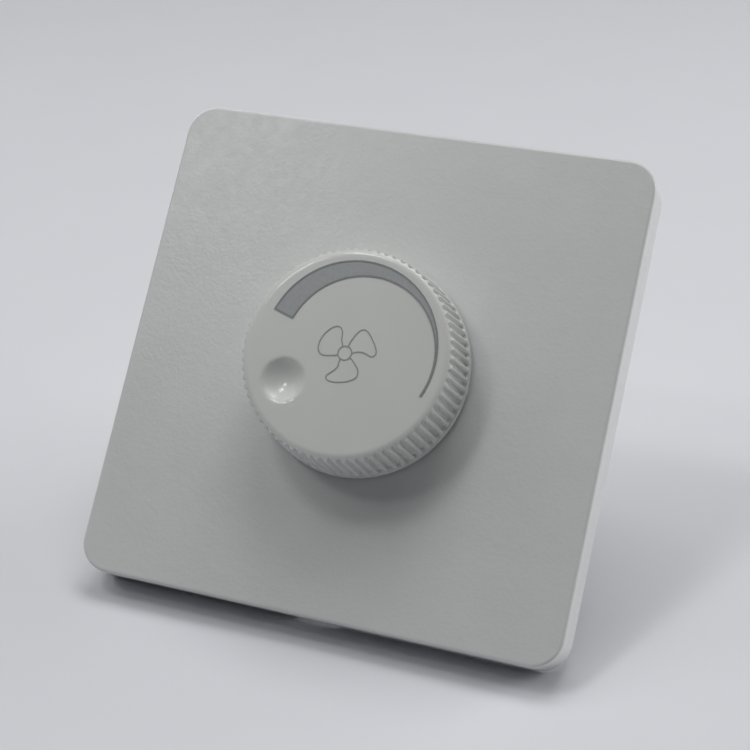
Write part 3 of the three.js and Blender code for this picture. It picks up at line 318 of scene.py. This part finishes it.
class Finish:
    """A material with its node tree, and short calls for the nodes that finishes share."""

    def __init__(self, name, roughness=0.5, metallic=0.0, **sockets):
        self.material = bpy.data.materials.new(name)
        self.material.use_nodes = True
        self.nodes = self.material.node_tree.nodes
        self.links = self.material.node_tree.links
        self.shader = self.nodes["Principled BSDF"]
        self.shader.inputs["Roughness"].default_value = roughness
        self.shader.inputs["Metallic"].default_value = metallic
        for socket, value in sockets.items():
            self.shader.inputs[socket.replace("_", " ")].default_value = value
        place = self.nodes.new("ShaderNodeTexCoord").outputs["Object"]
        scaled = self.node("ShaderNodeVectorMath", {0: place, 1: (1000, 1000, 1000)})
        scaled.operation = "MULTIPLY"
        self.place = scaled.outputs[0]  # the point on the part in millimetres

    def node(self, kind, inputs):
        made = self.nodes.new(kind)
        for socket, value in inputs.items():
            self.put(made.inputs[socket], value)
        return made

    def put(self, socket, value):
        if isinstance(value, bpy.types.NodeSocket):
            self.links.new(value, socket)
        else:
            socket.default_value = value

    def noise(self, size, detail=2.0, place=None):
        """Smooth noise from 0 to 1 whose grain is about size millimetres."""
        inputs = {"Vector": place or self.place, "Scale": 1 / size, "Detail": detail}
        return self.node("ShaderNodeTexNoise", inputs).outputs["Fac"]

    def waves(self, direction, scale):
        """Even waves from 0 to 1 along X or Z."""
        made = self.node("ShaderNodeTexWave", {"Vector": self.place, "Scale": scale})
        made.bands_direction = direction
        return made.outputs["Fac"]

    def seams(self, size, randomness):
        """The distance from the seams between cells about size millimetres wide."""
        inputs = {"Vector": self.place, "Scale": 1 / size, "Randomness": randomness}
        made = self.node("ShaderNodeTexVoronoi", inputs)
        made.feature = "DISTANCE_TO_EDGE"
        return made.outputs["Distance"]

    def stretched(self, factors):
        """The point with each coordinate multiplied, for grain that runs one way."""
        made = self.node("ShaderNodeVectorMath", {0: self.place, 1: factors})
        made.operation = "MULTIPLY"
        return made.outputs[0]

    def spread(self, value, low, high, to_low, to_high):
        """Maps low..high of a value onto to_low..to_high."""
        inputs = {0: value, 1: low, 2: high, 3: to_low, 4: to_high}
        return self.node("ShaderNodeMapRange", inputs).outputs[0]

    def uneven(self, noise, low, high):
        """Maps most of a noise onto low..high."""
        return self.spread(noise, NOISE_LOW, NOISE_HIGH, low, high)

    def maths(self, operation, first, second=0.0):
        made = self.node("ShaderNodeMath", {0: first, 1: second})
        made.operation = operation
        return made.outputs[0]

    def inverse(self, share):
        """1 where the share is 0, and 0 where it is 1."""
        return self.maths("SUBTRACT", 1.0, share)

    def size_of(self, value):
        """The value without its sign."""
        return self.maths("ABSOLUTE", value)

    def colours(self, value, stops):
        """A colour ramp over a value, from (position, (r, g, b)) stops."""
        made = self.node("ShaderNodeValToRGB", {0: value})
        ramp = made.color_ramp
        while len(ramp.elements) < len(stops):
            ramp.elements.new(0.5)
        for element, (position, colour) in zip(ramp.elements, stops):
            element.position = position
            element.color = (*colour, 1)
        return made.outputs[0]

    def along(self, axis):
        """The place along X, Y or Z, in millimetres."""
        return self.node("ShaderNodeSeparateXYZ", {0: self.place}).outputs[axis]

    def past(self, value, limit, blur=0.05):
        """0 below the limit and 1 beyond it."""
        return self.spread(value, limit - blur, limit + blur, 0, 1)

    def either(self, share, first, second):
        """The first colour where the share is 0 and the second where it is 1."""
        made = self.nodes.new("ShaderNodeMix")
        made.data_type = "RGBA"
        # the share is input 0 of a mix of colours, which are its inputs 6 and 7
        for socket, value in ((0, share), (6, opaque(first)), (7, opaque(second))):
            self.put(made.inputs[socket], value)
        return made.outputs[2]

    def tinned(self, share, body_colour, body_roughness):
        """Tinned metal where the share is 1, and the body's own finish elsewhere."""
        streaks = self.noise(0.4, detail=4)
        tin = self.colours(streaks, varied((0.66, 0.66, 0.64), 0.1))
        self.base(self.either(share, body_colour, tin))
        self.put(self.shader.inputs["Metallic"], share)
        tin_roughness = self.uneven(streaks, 0.25, 0.4)
        rough = self.node("ShaderNodeMix", {0: share, 2: body_roughness, 3: tin_roughness})
        return self.rough(rough.outputs[0])

    def base(self, value):
        self.put(self.shader.inputs["Base Color"], value)
        return self

    def rough(self, value):
        self.put(self.shader.inputs["Roughness"], value)
        return self

    def bump(self, height, distance, under=None):
        """Raises the surface by the height value times a distance in millimetres."""
        made = self.node("ShaderNodeBump", {"Height": height, "Distance": distance * MM})
        if under:
            self.links.new(under, made.inputs["Normal"])
        self.links.new(made.outputs[0], self.shader.inputs["Normal"])
        return made.outputs[0]


def varied(colour, amount):
    """Two stops around a colour, for a ramp that varies it slightly."""
    darker = tuple(c * (1 - amount) for c in colour)
    lighter = tuple(min(1, c * (1 + amount)) for c in colour)
    return [(NOISE_LOW, darker), (NOISE_HIGH, lighter)]


def white_cover():
    """Moulded white plastic with a fine pebbled skin."""
    finish = Finish("white_cover", roughness=0.36)
    finish.base(finish.colours(finish.noise(9), varied((0.705, 0.72, 0.712), 0.015)))
    finish.rough(finish.uneven(finish.noise(1.5), 0.28, 0.38))
    swell = finish.bump(finish.noise(1.8, detail=1), distance=0.03)
    finish.bump(finish.noise(0.6, detail=1.5), distance=0.032, under=swell)
    return finish.material


def white_knob():
    """Smooth satin white plastic."""
    finish = Finish("white_knob", roughness=0.34, Coat_Weight=0.5, Coat_Roughness=0.1)
    finish.base(finish.colours(finish.noise(7), varied((0.70, 0.716, 0.692), 0.012)))
    finish.rough(finish.uneven(finish.noise(2.5, detail=4), 0.3, 0.4))
    finish.bump(finish.noise(0.12, detail=3), distance=0.003)
    return finish.material


def ink(name, colour):
    """Pad-printed ink: matt, with a slightly uneven film."""
    finish = Finish(name, roughness=0.55)
    finish.base(finish.colours(finish.noise(0.8, detail=3), varied(colour, 0.05)))
    finish.bump(finish.noise(0.15), distance=0.004)
    return finish.material


def plain_plastic(name, colour, roughness, grain=0.3):
    """Moulded plastic with a lightly eroded skin."""
    finish = Finish(name, roughness=roughness)
    finish.base(finish.colours(finish.noise(6, detail=3), varied(colour, 0.02)))
    finish.rough(finish.uneven(finish.noise(1.2), roughness - 0.05, roughness + 0.07))
    finish.bump(finish.noise(grain, detail=2), distance=0.012)
    return finish.material


def metal(name, colour, roughness, grain=(1, 1, 1)):
    """Metal with fine tool marks, which are short along the axis with the largest grain factor."""
    finish = Finish(name, roughness=roughness, metallic=1.0)
    finish.base(finish.colours(finish.noise(1.5, detail=4), varied(colour, 0.06)))
    marks = finish.noise(0.25, detail=3, place=finish.stretched(grain))
    finish.rough(finish.uneven(marks, roughness - 0.08, roughness + 0.12))
    finish.bump(marks, distance=0.006)
    return finish.material


LEAD_SEAT = 0.3  # how far the component cases stand off the board, in millimetres
BAND_WANDER = 0.06  # how far the edge of a colour band wanders, in millimetres
BAND_BLUR = 0.03


def leaded(name, colour, roughness, grain):
    """A component case, with tinned leads between it and the board."""
    finish = Finish(name, roughness=roughness)
    body = finish.colours(finish.noise(3, detail=3), varied(colour, 0.05))
    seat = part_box("circuit_board")[1].y / MM + LEAD_SEAT
    leads = finish.inverse(finish.past(finish.along(1), seat))
    worn = finish.uneven(finish.noise(0.8), roughness - 0.06, roughness + 0.08)
    finish.tinned(leads, body, worn)
    finish.bump(finish.noise(grain, detail=3), distance=0.012)
    return finish.material


def axial(name, node, colour, roughness, bands, half_length):
    """A body along X with colour bands around it, and a tinned lead at each end."""
    low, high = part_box(node)
    middle = (low.x + high.x) / 2 / MM
    finish = Finish(name, roughness=roughness)
    place = finish.maths("SUBTRACT", finish.along(0), middle)
    coat = finish.colours(finish.noise(1.2, detail=3), varied(colour, 0.06))
    for at, half_width, band in bands:
        away = finish.size_of(finish.maths("SUBTRACT", place, at))
        wander = finish.spread(finish.noise(0.5), 0, 1, -BAND_WANDER, BAND_WANDER)
        outside = finish.past(finish.maths("ADD", away, wander), half_width, BAND_BLUR)
        coat = finish.either(finish.inverse(outside), coat, band)
    leads = finish.past(finish.size_of(place), half_length, BAND_BLUR)
    worn = finish.uneven(finish.noise(0.7), roughness - 0.05, roughness + 0.1)
    finish.tinned(leads, coat, worn)
    finish.bump(finish.noise(0.4, detail=2), distance=0.015)
    return finish.material


def laminate():
    """Solder mask over woven glass, raised and paler over wide copper areas."""
    finish = Finish("board_laminate", roughness=0.3)
    weave = finish.maths("MULTIPLY", finish.waves("X", scale=0.55), finish.waves("Z", scale=0.55))
    tracks = finish.past(finish.seams(7, randomness=0.45), limit=0.06, blur=0.01)
    green = finish.colours(finish.noise(5, detail=3), varied((0.035, 0.14, 0.06), 0.12))
    paler = finish.colours(finish.noise(2, detail=3), varied((0.075, 0.24, 0.10), 0.08))
    finish.base(finish.either(tracks, green, paler))
    finish.rough(finish.uneven(finish.noise(1.5, detail=4), 0.24, 0.38))
    cloth = finish.bump(weave, distance=0.008)
    finish.bump(tracks, distance=0.04, under=cloth)
    return finish.material


def wound_copper():
    """Enamelled copper, slightly blotchy."""
    enamel = {"Coat_Weight": 0.6, "Coat_Roughness": 0.12}
    finish = Finish("copper_wire", roughness=0.28, metallic=1.0, **enamel)
    finish.base(finish.colours(finish.noise(1.1, detail=4), varied((0.72, 0.30, 0.13), 0.12)))
    finish.rough(finish.uneven(finish.noise(0.5), 0.22, 0.36))
    finish.bump(finish.noise(0.2, detail=2), distance=0.006)
    return finish.material


# The finish of each slot, apart from the slots whose every node is listed below.
MATERIALS = {
    "white_cover": white_cover(),
    "white_knob": white_knob(),
    "grey_ink": ink("grey_ink", (0.385, 0.402, 0.415)),
    "dark_ink": ink("dark_ink", (0.27, 0.28, 0.28)),
    "carrier_plastic": plain_plastic("carrier_plastic", (0.72, 0.73, 0.70), 0.45),
    "housing_plastic": plain_plastic("housing_plastic", (0.69, 0.70, 0.67), 0.48),
    "board_laminate": laminate(),
    "brass": metal("brass", (0.78, 0.56, 0.24), 0.3),
    "zinc_steel": metal("zinc_steel", (0.62, 0.64, 0.67), 0.32),
    "shaft_aluminium": metal("shaft_aluminium", (0.72, 0.73, 0.75), 0.35, (1, 6, 1)),
    "phenolic": plain_plastic("phenolic", (0.22, 0.10, 0.04), 0.55),
    "carbon": plain_plastic("carbon", (0.02, 0.02, 0.022), 0.7),
    "black_plastic": plain_plastic("black_plastic", (0.025, 0.025, 0.028), 0.45),
    "copper_wire": wound_copper(),
    "terminal_plastic": plain_plastic("terminal_plastic", (0.06, 0.24, 0.12), 0.4),
}

RED, VIOLET, YELLOW = (0.45, 0.03, 0.02), (0.16, 0.05, 0.28), (0.75, 0.5, 0.03)
BROWN, BLACK, GOLD = (0.16, 0.06, 0.02), (0.02, 0.02, 0.02), (0.6, 0.4, 0.12)
TAN, BLUE = (0.62, 0.47, 0.28), (0.05, 0.14, 0.42)
# a resistor's bands: their places along the body from its middle, and half their width
BAND_PLACES, BAND_HALF_WIDTH = (-2.6, -1.1, 0.2, 2.5), 0.28
RESISTOR_HALF_LENGTH = 3.2
DIAC_HALF_LENGTH = 2.1


def resistor(node, colours):
    """The lacquer of a resistor with four colour bands."""
    bands = [(at, BAND_HALF_WIDTH, colour) for at, colour in zip(BAND_PLACES, colours)]
    return axial(f"{node}_lacquer", node, TAN, 0.35, bands, RESISTOR_HALF_LENGTH)


# Nodes with a finish of their own, which mostly depends on the place on the piece.
NODE_MATERIALS = {
    "knob_fan_icon": ink("icon_ink", (0.33, 0.34, 0.34)),
    "resistor_1": resistor("resistor_1", (YELLOW, VIOLET, RED, GOLD)),
    "resistor_2": resistor("resistor_2", (BROWN, BLACK, YELLOW, GOLD)),
    "diac": axial("diac_glass", "diac", BLUE, 0.15, [(1.3, 0.25, BLACK)], DIAC_HALF_LENGTH),
    "film_capacitor": leaded("film_case", (0.66, 0.44, 0.06), 0.28, grain=0.8),
    "timing_capacitor": leaded("timing_case", (0.45, 0.10, 0.04), 0.25, grain=0.5),
    "choke_core": leaded("choke_ferrite", (0.05, 0.05, 0.055), 0.65, grain=0.15),
}

# ---------------------------------------------------------------- floor and light

# The plate leans back on its housing, so the floor is tilted in the part's frame. It touches
# the lower rear edges of the plate and of the housing.
FLOOR_UP = Vector((0, -0.654, 0.756)).normalized()
FLOOR_POINT = Vector((0, 0, cad_box[0].z))


def floor_axes():
    """A matrix that puts +Z along the floor's up direction, at the floor's point."""
    right = Vector((1, 0, 0))
    axes = Matrix((right, FLOOR_UP.cross(right), FLOOR_UP)).transposed()
    return Matrix.Translation(FLOOR_POINT) @ axes.to_4x4()


# how far from its middle the floor starts to fade into the backdrop and where it ends, in mm
FLOOR_FADE = (400.0, 750.0)


def make_floor():
    """A pale sheet that shows and blocks light on its upper side only, and fades far away."""
    half = FLOOR_FADE[1]
    corners = [(-half, -half), (half, -half), (half, half), (-half, half)]
    floor = mesh_object("floor", [(x * MM, y * MM, 0) for x, y in corners], [(0, 1, 2, 3)])
    floor.matrix_world = floor_axes()
    finish = Finish("floor", roughness=0.75)
    finish.base(finish.colours(finish.noise(30, detail=4), varied((0.78, 0.79, 0.83), 0.006)))
    nodes, links = finish.nodes, finish.links
    clear = nodes.new("ShaderNodeBsdfTransparent")
    side = nodes.new("ShaderNodeNewGeometry")
    away = finish.node("ShaderNodeVectorMath", {0: finish.place})
    away.operation = "LENGTH"
    fade = finish.spread(away.outputs["Value"], *FLOOR_FADE, 0, 1)
    mix = nodes.new("ShaderNodeMixShader")
    links.new(finish.maths("MAXIMUM", side.outputs["Backfacing"], fade), mix.inputs[0])
    links.new(finish.shader.outputs[0], mix.inputs[1])
    links.new(clear.outputs[0], mix.inputs[2])
    links.new(mix.outputs[0], nodes["Material Output"].inputs["Surface"])
    floor.data.materials.append(finish.material)
    return floor


# Soft square lights on a dome about the object, in floor axes: elevation and azimuth in degrees
# (azimuth 0 is in front and 90 to the right), side in metres and power in watts.
DOME_RADIUS = 0.9
DOME_MIDDLE = Vector((0, 0.02, 0.03))  # what the lights point at
BACKDROP = (0.56, 0.58, 0.61)
DOME = {
    "overhead": (90, 0, 0.3, 0.25),
    "high_right": (70, 120, 0.4, 0.75),
    "high_back": (70, 180, 0.4, 2.1),
    "high_left": (70, 300, 0.16, 0.85),
    "front_left": (54, 315, 0.1, 0.48),
    "left": (55, 266, 0.7, 1.65),
    "low_left": (18, 270, 0.8, 0.45),
    "low_right": (28, 110, 0.5, 1.1),
    "rim_right": (12, 128, 0.4, 2.8),
}
# Lights for the views from behind and below: the floor neither stops nor shows them.
BEHIND = {
    "behind_high": (0, 215, 0.5, 2.0),
}


def dome_light(name, elevation, azimuth, side, power):
    """A soft light on the dome, turned towards the middle of the object."""
    high, around = math.radians(elevation), math.radians(azimuth)
    level = math.cos(high)
    direction = Vector((level * math.sin(around), -level * math.cos(around), math.sin(high)))
    data = bpy.data.lights.new(name, "AREA")
    data.shape = "SQUARE"
    data.size = side
    data.energy = power
    light = bpy.data.objects.new(name, data)
    place = direction * DOME_RADIUS
    ahead = DOME_MIDDLE - place
    turn = ahead.to_track_quat("-Z", "Y").to_matrix().to_4x4()
    light.matrix_world = floor_axes() @ Matrix.Translation(place) @ turn
    bpy.context.scene.collection.objects.link(light)
    return light


def make_light(floor):
    """The backdrop, the dome's lights and the lights that pass the floor by."""
    scene = bpy.context.scene
    scene.view_settings.view_transform = "Standard"
    scene.world = bpy.data.worlds.new("pale_backdrop")
    scene.world.use_nodes = True
    backdrop = scene.world.node_tree.nodes["Background"]
    backdrop.inputs["Color"].default_value = (*BACKDROP, 1)
    # the backdrop is seen where the floor ends, and lights nothing
    scene.world.cycles_visibility.diffuse = False
    scene.world.cycles_visibility.glossy = False
    for name, values in DOME.items():
        dome_light(name, *values)
    unseen = bpy.data.collections.new("floor_left_out")
    unseen.objects.link(floor)
    unseen.collection_objects[0].light_linking.link_state = "EXCLUDE"
    for name, values in BEHIND.items():
        light = dome_light(name, *values)
        light.light_linking.blocker_collection = unseen
        light.light_linking.receiver_collection = unseen


# ---------------------------------------------------------------- knob

KNOB_RIBS = 72
# the knob's sizes, and all sizes below, are in millimetres
KNOB = {
    "ring_length": 1.3,
    "ring_lip": 0.12,  # rounding of the base ring and of the cavity's edges
    "centre": 0.4,  # radius of the smallest ring of points on the face and in the cavity
    "rib_radius_back": 18.85,
    "rib_radius_front": 18.15,
    "groove_depth": 0.65,
    "groove_share": 0.6,  # of one pitch, between the middles of its two slopes
    "groove_corner": 0.4,
    "slope": 0.24,  # how wide a groove's slope is
    "groove_front": 0.3,  # behind the face
    "groove_back": 0.14,  # in front of the base ring
    "face_rounding": 0.95,  # how far the rounded rim runs back from the face
    "rim_width": 1.45,  # how far the rounded rim reaches in from the edge
    "skin": 2.4,
    "cavity_radius": 15.4,
    "boss_radius": 5.0,
    "web": 1.2,
    "bore_clearance": 0.1,
}
KNOB_INSIDE = {
    "overlap": 0.5,  # how far the boss and the webs start inside the skin and the wall
    "boss_gap": 0.6,  # from the boss to the knob's back
    "web_gap": 3.0,
    "bore_end": 0.3,  # how far the bore runs past the shaft's end
}
SHAFT = {"flat": 1.6, "flat_end": -10.3}
DIMPLE = {"x": -9.5, "z": -6.1, "radius": 3.7, "depth": 1.2, "lip": 0.14}
# places of the columns in one pitch, from the middle of a groove towards the middle of a rib
COLUMNS = (0.0, 0.14, 0.22, 0.26, 0.30, 0.34, 0.40)
# rings of points on the face, on its rounded rim and on the side, close together where grooves end
FACE_RINGS, RIM_STEPS, SIDE_RINGS, GROOVE_END_RINGS = 46, 10, 16, 11
GROOVE_END_LENGTH = 1.0


def dimple_depth(x, z):
    """How deep the finger dimple is at a point of the face: a round dent with a soft lip."""
    radius, depth = DIMPLE["radius"], DIMPLE["depth"]
    ball = (radius**2 + depth**2) / (2 * depth)
    away = np.hypot(x - DIMPLE["x"], z - DIMPLE["z"])
    inside = np.sqrt(np.maximum(ball**2 - away**2, 1e-9)) - (ball - depth)
    soft = np.sqrt(inside**2 + DIMPLE["lip"] ** 2)
    dent = (inside + soft) / 2
    fade = np.clip((2 * radius - away) / radius, 0, 1)
    return dent * fade**2


def groove_share(angles, y, radius, front, back):
    """How deep the grooves between front and back are, from 0 to 1: pockets with round corners."""
    pitch = TURN / KNOB_RIBS
    corner = KNOB["groove_corner"]
    offset = np.abs(np.mod(angles / pitch + 0.5, 1) - 0.5) * pitch * radius
    across = offset - KNOB["groove_share"] * pitch * radius / 2 + corner
    along = abs(y - (front + back) / 2) - (back - front) / 2 + corner
    outside = np.hypot(np.maximum(across, 0), max(along, 0))
    edge = corner - outside - np.minimum(np.maximum(across, along), 0)
    share = np.clip(edge / KNOB["slope"] + 0.5, 0, 1)
    return share * share * (3 - 2 * share)


def knob_shell():
    """The knob's outside and its hollow back, as one closed surface of revolution with ribs."""
    low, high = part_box("knob")
    front, back, ring = low.y / MM, high.y / MM, high.x / MM
    pitch = TURN / KNOB_RIBS
    steps = [-s for s in COLUMNS[:0:-1]] + list(COLUMNS) + [0.5]
    angles = np.array([(i + s) * pitch for i in range(KNOB_RIBS) for s in steps])
    cos, sin = np.cos(angles), np.sin(angles)

    def ring_at(radius, y):
        return np.stack([radius * cos, np.broadcast_to(y, cos.shape), radius * sin], 1)

    rounding, width, rim = KNOB["face_rounding"], KNOB["rim_width"], KNOB["rib_radius_front"]
    flat = rim - width
    shoulder = front + rounding
    ring_front = back - KNOB["ring_length"]
    groove_front = front + KNOB["groove_front"]
    groove_back = ring_front - KNOB["groove_back"]
    taper = (KNOB["rib_radius_back"] - rim) / (ring_front - shoulder)

    def grooved(radius, y):
        """A ring of the side, cut down to the grooves' floor where there is a groove."""
        floor_radius = rim + taper * (y - shoulder) - KNOB["groove_depth"]
        depth = max(radius - floor_radius, 0)
        share = groove_share(angles, y, radius, groove_front, groove_back)
        return ring_at(radius - depth * share, y)

    rings = []
    for radius in np.linspace(KNOB["centre"], flat, FACE_RINGS):
        rings.append(ring_at(radius, front + dimple_depth(radius * cos, radius * sin)))
    for step in range(1, RIM_STEPS + 1):
        turn = math.radians(90 * step / RIM_STEPS)
        y = front + rounding * (1 - math.cos(turn))
        rings.append(grooved(flat + width * math.sin(turn), y))
    groove_end = ring_front - GROOVE_END_LENGTH
    sides = np.concatenate([
        np.linspace(shoulder, groove_end, SIDE_RINGS)[1:],
        np.linspace(groove_end, ring_front, GROOVE_END_RINGS)[1:],
    ])
    for y in sides:
        rings.append(grooved(rim + taper * (y - shoulder), y))
    lip, cavity, roof = KNOB["ring_lip"], KNOB["cavity_radius"], front + KNOB["skin"]
    for radius, y in (
        (ring - lip / 3, ring_front + lip / 6),
        (ring, ring_front + lip),
        (ring, back - lip),
        (ring - lip / 3, back - lip / 3),
        (ring - lip, back),
        (cavity + lip, back),
        (cavity, back - lip),
        (cavity, roof + lip),
        (cavity - lip, roof),
        (KNOB["centre"], roof),
    ):
        rings.append(ring_at(radius, y))
    return bridged("knob_fine", rings)


def make_knob():
    """The shell, with a boss, four webs and the D-shaped bore for the shaft."""
    low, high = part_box("knob")
    front, back = low.y / MM, high.y / MM
    shaft_low, shaft_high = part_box("control_shaft")
    shaft_radius = shaft_high.x / MM
    knob = knob_shell()
    roof = front + KNOB["skin"] - KNOB_INSIDE["overlap"]
    inside = KNOB["cavity_radius"] + KNOB_INSIDE["overlap"]
    boss, boss_end = KNOB["boss_radius"], back - KNOB_INSIDE["boss_gap"]
    web, web_end = KNOB["web"] / 2, back - KNOB_INSIDE["web_gap"]
    joined = [
        turned("boss", [(boss, roof), (boss, boss_end)]),
        block((-inside, roof, -web), (inside, web_end, web)),
        block((-web, roof, -inside), (web, web_end, inside)),
    ]
    boolean(knob, joined, "UNION")
    bore_front = shaft_low.y / MM - KNOB_INSIDE["bore_end"]
    bore_radius = shaft_radius + KNOB["bore_clearance"]
    bore = turned("bore", [(bore_radius, bore_front), (bore_radius, back + THROUGH)])
    flat = SHAFT["flat"] + KNOB["bore_clearance"]
    beside, before = shaft_radius + THROUGH, bore_front - THROUGH
    beyond_flat = block((-beside, before, flat), (beside, SHAFT["flat_end"], 2 * flat))
    boolean(bore, [beyond_flat], "DIFFERENCE")
    boolean(knob, [bore], "DIFFERENCE")
    stands_for(knob, "knob", sharp_degrees=50)


# ---------------------------------------------------------------- cover plate

COVER = {
    "corner": 5.3,
    "least_corner": 0.4,  # where the outline runs far inside the corners
    "edge": 0.5,
    "skin": 2.2,
    "wall": 2.0,
    "flare": 0.15,  # how much wider the cover is at the wall than at its face
    "lip": 0.15,  # bevel of the edges at the wall
    "hole": 6.8,
    "chamfer": 0.25,
    "support": 0.05,  # from an edge to the extra loop beside it that keeps it crisp
    "face_support": 0.06,
}
FRONT_EDGE_STEPS = 6
HOOK = {"x": 24.0, "width": 8.0, "root": 0.2, "reach": 0.9, "ys": (-0.6, -1.5, -2.0, -2.4)}
PRY_SLOT = {"half_width": 4.0, "depth": 1.2, "rise": 1.0}


def snap_hook(x, side, wall_inside):
    """A wedge on the inside of the top wall (side 1) or of the bottom wall (side -1)."""
    root, tip = wall_inside + HOOK["root"], wall_inside - HOOK["reach"]
    half = HOOK["width"] / 2
    outline = list(zip((root, tip, tip, root), HOOK["ys"]))
    return bridged("hook", [
        np.array([[x + end, y, side * z] for z, y in outline]) for end in (-half, half)
    ])


def make_cover():
    """A shell with round corners, a hole for the shaft, four snap hooks and the pry slot."""
    low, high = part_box("cover_plate")
    front, back = low.y / MM, high.y / MM
    outer = high.x / MM
    half = outer - COVER["flare"]
    corner, edge = COVER["corner"], COVER["edge"]

    def outline(inset, y, out=0.0):
        side = half + out - inset
        return rounded_square(side, side, max(corner - inset, COVER["least_corner"]), y)

    lip, support = COVER["lip"], COVER["support"]
    # up the side from the wall to the front edge, in along the face, and back inside
    rings = [outline(0, back - lip, COVER["flare"])]
    for step in range(FRONT_EDGE_STEPS + 1):
        turn = math.radians(90 * step / FRONT_EDGE_STEPS)
        rings.append(outline(edge * (1 - math.cos(turn)), front + edge * (1 - math.sin(turn))))
    rings.append(outline(edge + COVER["face_support"], front))
    count = len(rings[0])
    spokes = np.arctan2(rings[-1][:, 2], rings[-1][:, 0])

    def hole_ring(radius, y):
        return np.stack([radius * np.cos(spokes), np.full(count, y), radius * np.sin(spokes)], 1)

    hole, chamfer = COVER["hole"], COVER["chamfer"]
    inner_face = front + COVER["skin"]
    rings.append(hole_ring(hole + chamfer + support, front))
    rings.append(hole_ring(hole + chamfer, front))
    rings.append(hole_ring(hole, front + chamfer))
    rings.append(hole_ring(hole, inner_face))
    wall = COVER["wall"]
    rings.append(outline(wall + support, inner_face))
    rings.append(outline(wall, inner_face + support))
    rings.append(outline(wall, back - lip))
    rings.append(outline(wall - lip, back))
    rings.append(outline(lip, back, COVER["flare"]))
    cover = bridged("cover_plate_fine", rings, closed_ends=False)
    wall_inside = half - wall
    hooks = [snap_hook(x, side, wall_inside) for x in (-HOOK["x"], HOOK["x"]) for side in (-1, 1)]
    boolean(cover, hooks, "UNION")
    slot = PRY_SLOT["half_width"]
    top = PRY_SLOT["rise"] - wall_inside
    blade_room = block((-slot, -PRY_SLOT["depth"], -outer - THROUGH), (slot, THROUGH, top))
    boolean(cover, [blade_room], "DIFFERENCE")
    stands_for(cover, "cover_plate", sharp_degrees=35)


# ---------------------------------------------------------------- the rest

MAIN_AXIS = Vector((0, 0, 0))
# nodes with circles: the axis that these lie about (0 for X, 1 for Y, 2 for Z) and its place
CIRCLES = {
    **{node: (1, MAIN_AXIS) for node in (
        "control_shaft", "shaft_circlip", "wiper_carrier", "wiper_spring", "threaded_bush",
        "bush_nut", "bush_washer", "pot_front_plate", "resistor_wafer", "carbon_track",
        "pot_can", "switch_module",
    )},
    **{f"housing_screw_{i}": (1, None) for i in (1, 2, 3, 4)},
    **{f"terminal_screw_{i}": (1, None) for i in (1, 2)},
    "choke_core": (1, None),
    "heat_sink_screw": (2, None),
}
EDGE_ROUNDING = {
    "carrier_frame": 0.12,
    "rear_housing": 0.12,
    "terminal_block": 0.12,
    "film_capacitor": 0.1,
    "triac": 0.1,
    "heat_sink": 0.1,
    "terminal_clamp_1": 0.15,
    "terminal_clamp_2": 0.15,
}
PLAIN_ROUNDING = 0.06
WIRE = 0.56  # thickness of the choke's wire
WINDING_BORE = 2.75  # radius
WINDING_SIDES = 72
RINGS_A_TURN = 8


def make_winding():
    """Enamelled wire, as many turns in a layer as fit between the core's flanges."""
    low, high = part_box("choke_winding")
    centre = (low + high) / 2 / MM
    outer = (high.x - low.x) / 2 / MM
    start, end = low.y / MM, high.y / MM
    turns = round((end - start) / WIRE)
    pitch = (end - start) / turns
    angles = np.arange(WINDING_SIDES) * TURN / WINDING_SIDES
    rings = []
    for y in np.linspace(start, end, turns * RINGS_A_TURN + 1):
        phase = np.mod((y - start) / pitch - angles / TURN, 1)
        hump = np.sqrt(np.maximum(1 - (2 * phase - 1) ** 2, 0)) * pitch / 2
        rings.append(circle(outer - pitch / 2 + hump, y, WINDING_SIDES, centre.x, centre.z))
    for y in (end, start):
        rings.append(circle(WINDING_BORE, y, WINDING_SIDES, centre.x, centre.z))
    winding = bridged("choke_winding_fine", rings, closed_ends=False)
    stands_for(winding, "choke_winding", sharp_degrees=80)


def make_others():
    """The prints keep their CAD meshes, and every other node gets rounded edges."""
    done = {"knob", "cover_plate", "choke_winding"}
    prints = {"knob_scale_fill", "knob_scale_outline", "knob_fan_icon"}
    for node, cad in frame["nodes"].items():
        if node in prints:
            paint(cad, node)
        elif node not in done:
            circles = CIRCLES.get(node, (None, None))
            bevel = EDGE_ROUNDING.get(node, PLAIN_ROUNDING)
            stands_for(from_node(node, bevel, *circles), node)


make_camera()
the_floor = make_floor()
make_light(the_floor)
make_knob()
make_cover()
make_winding()
make_others()
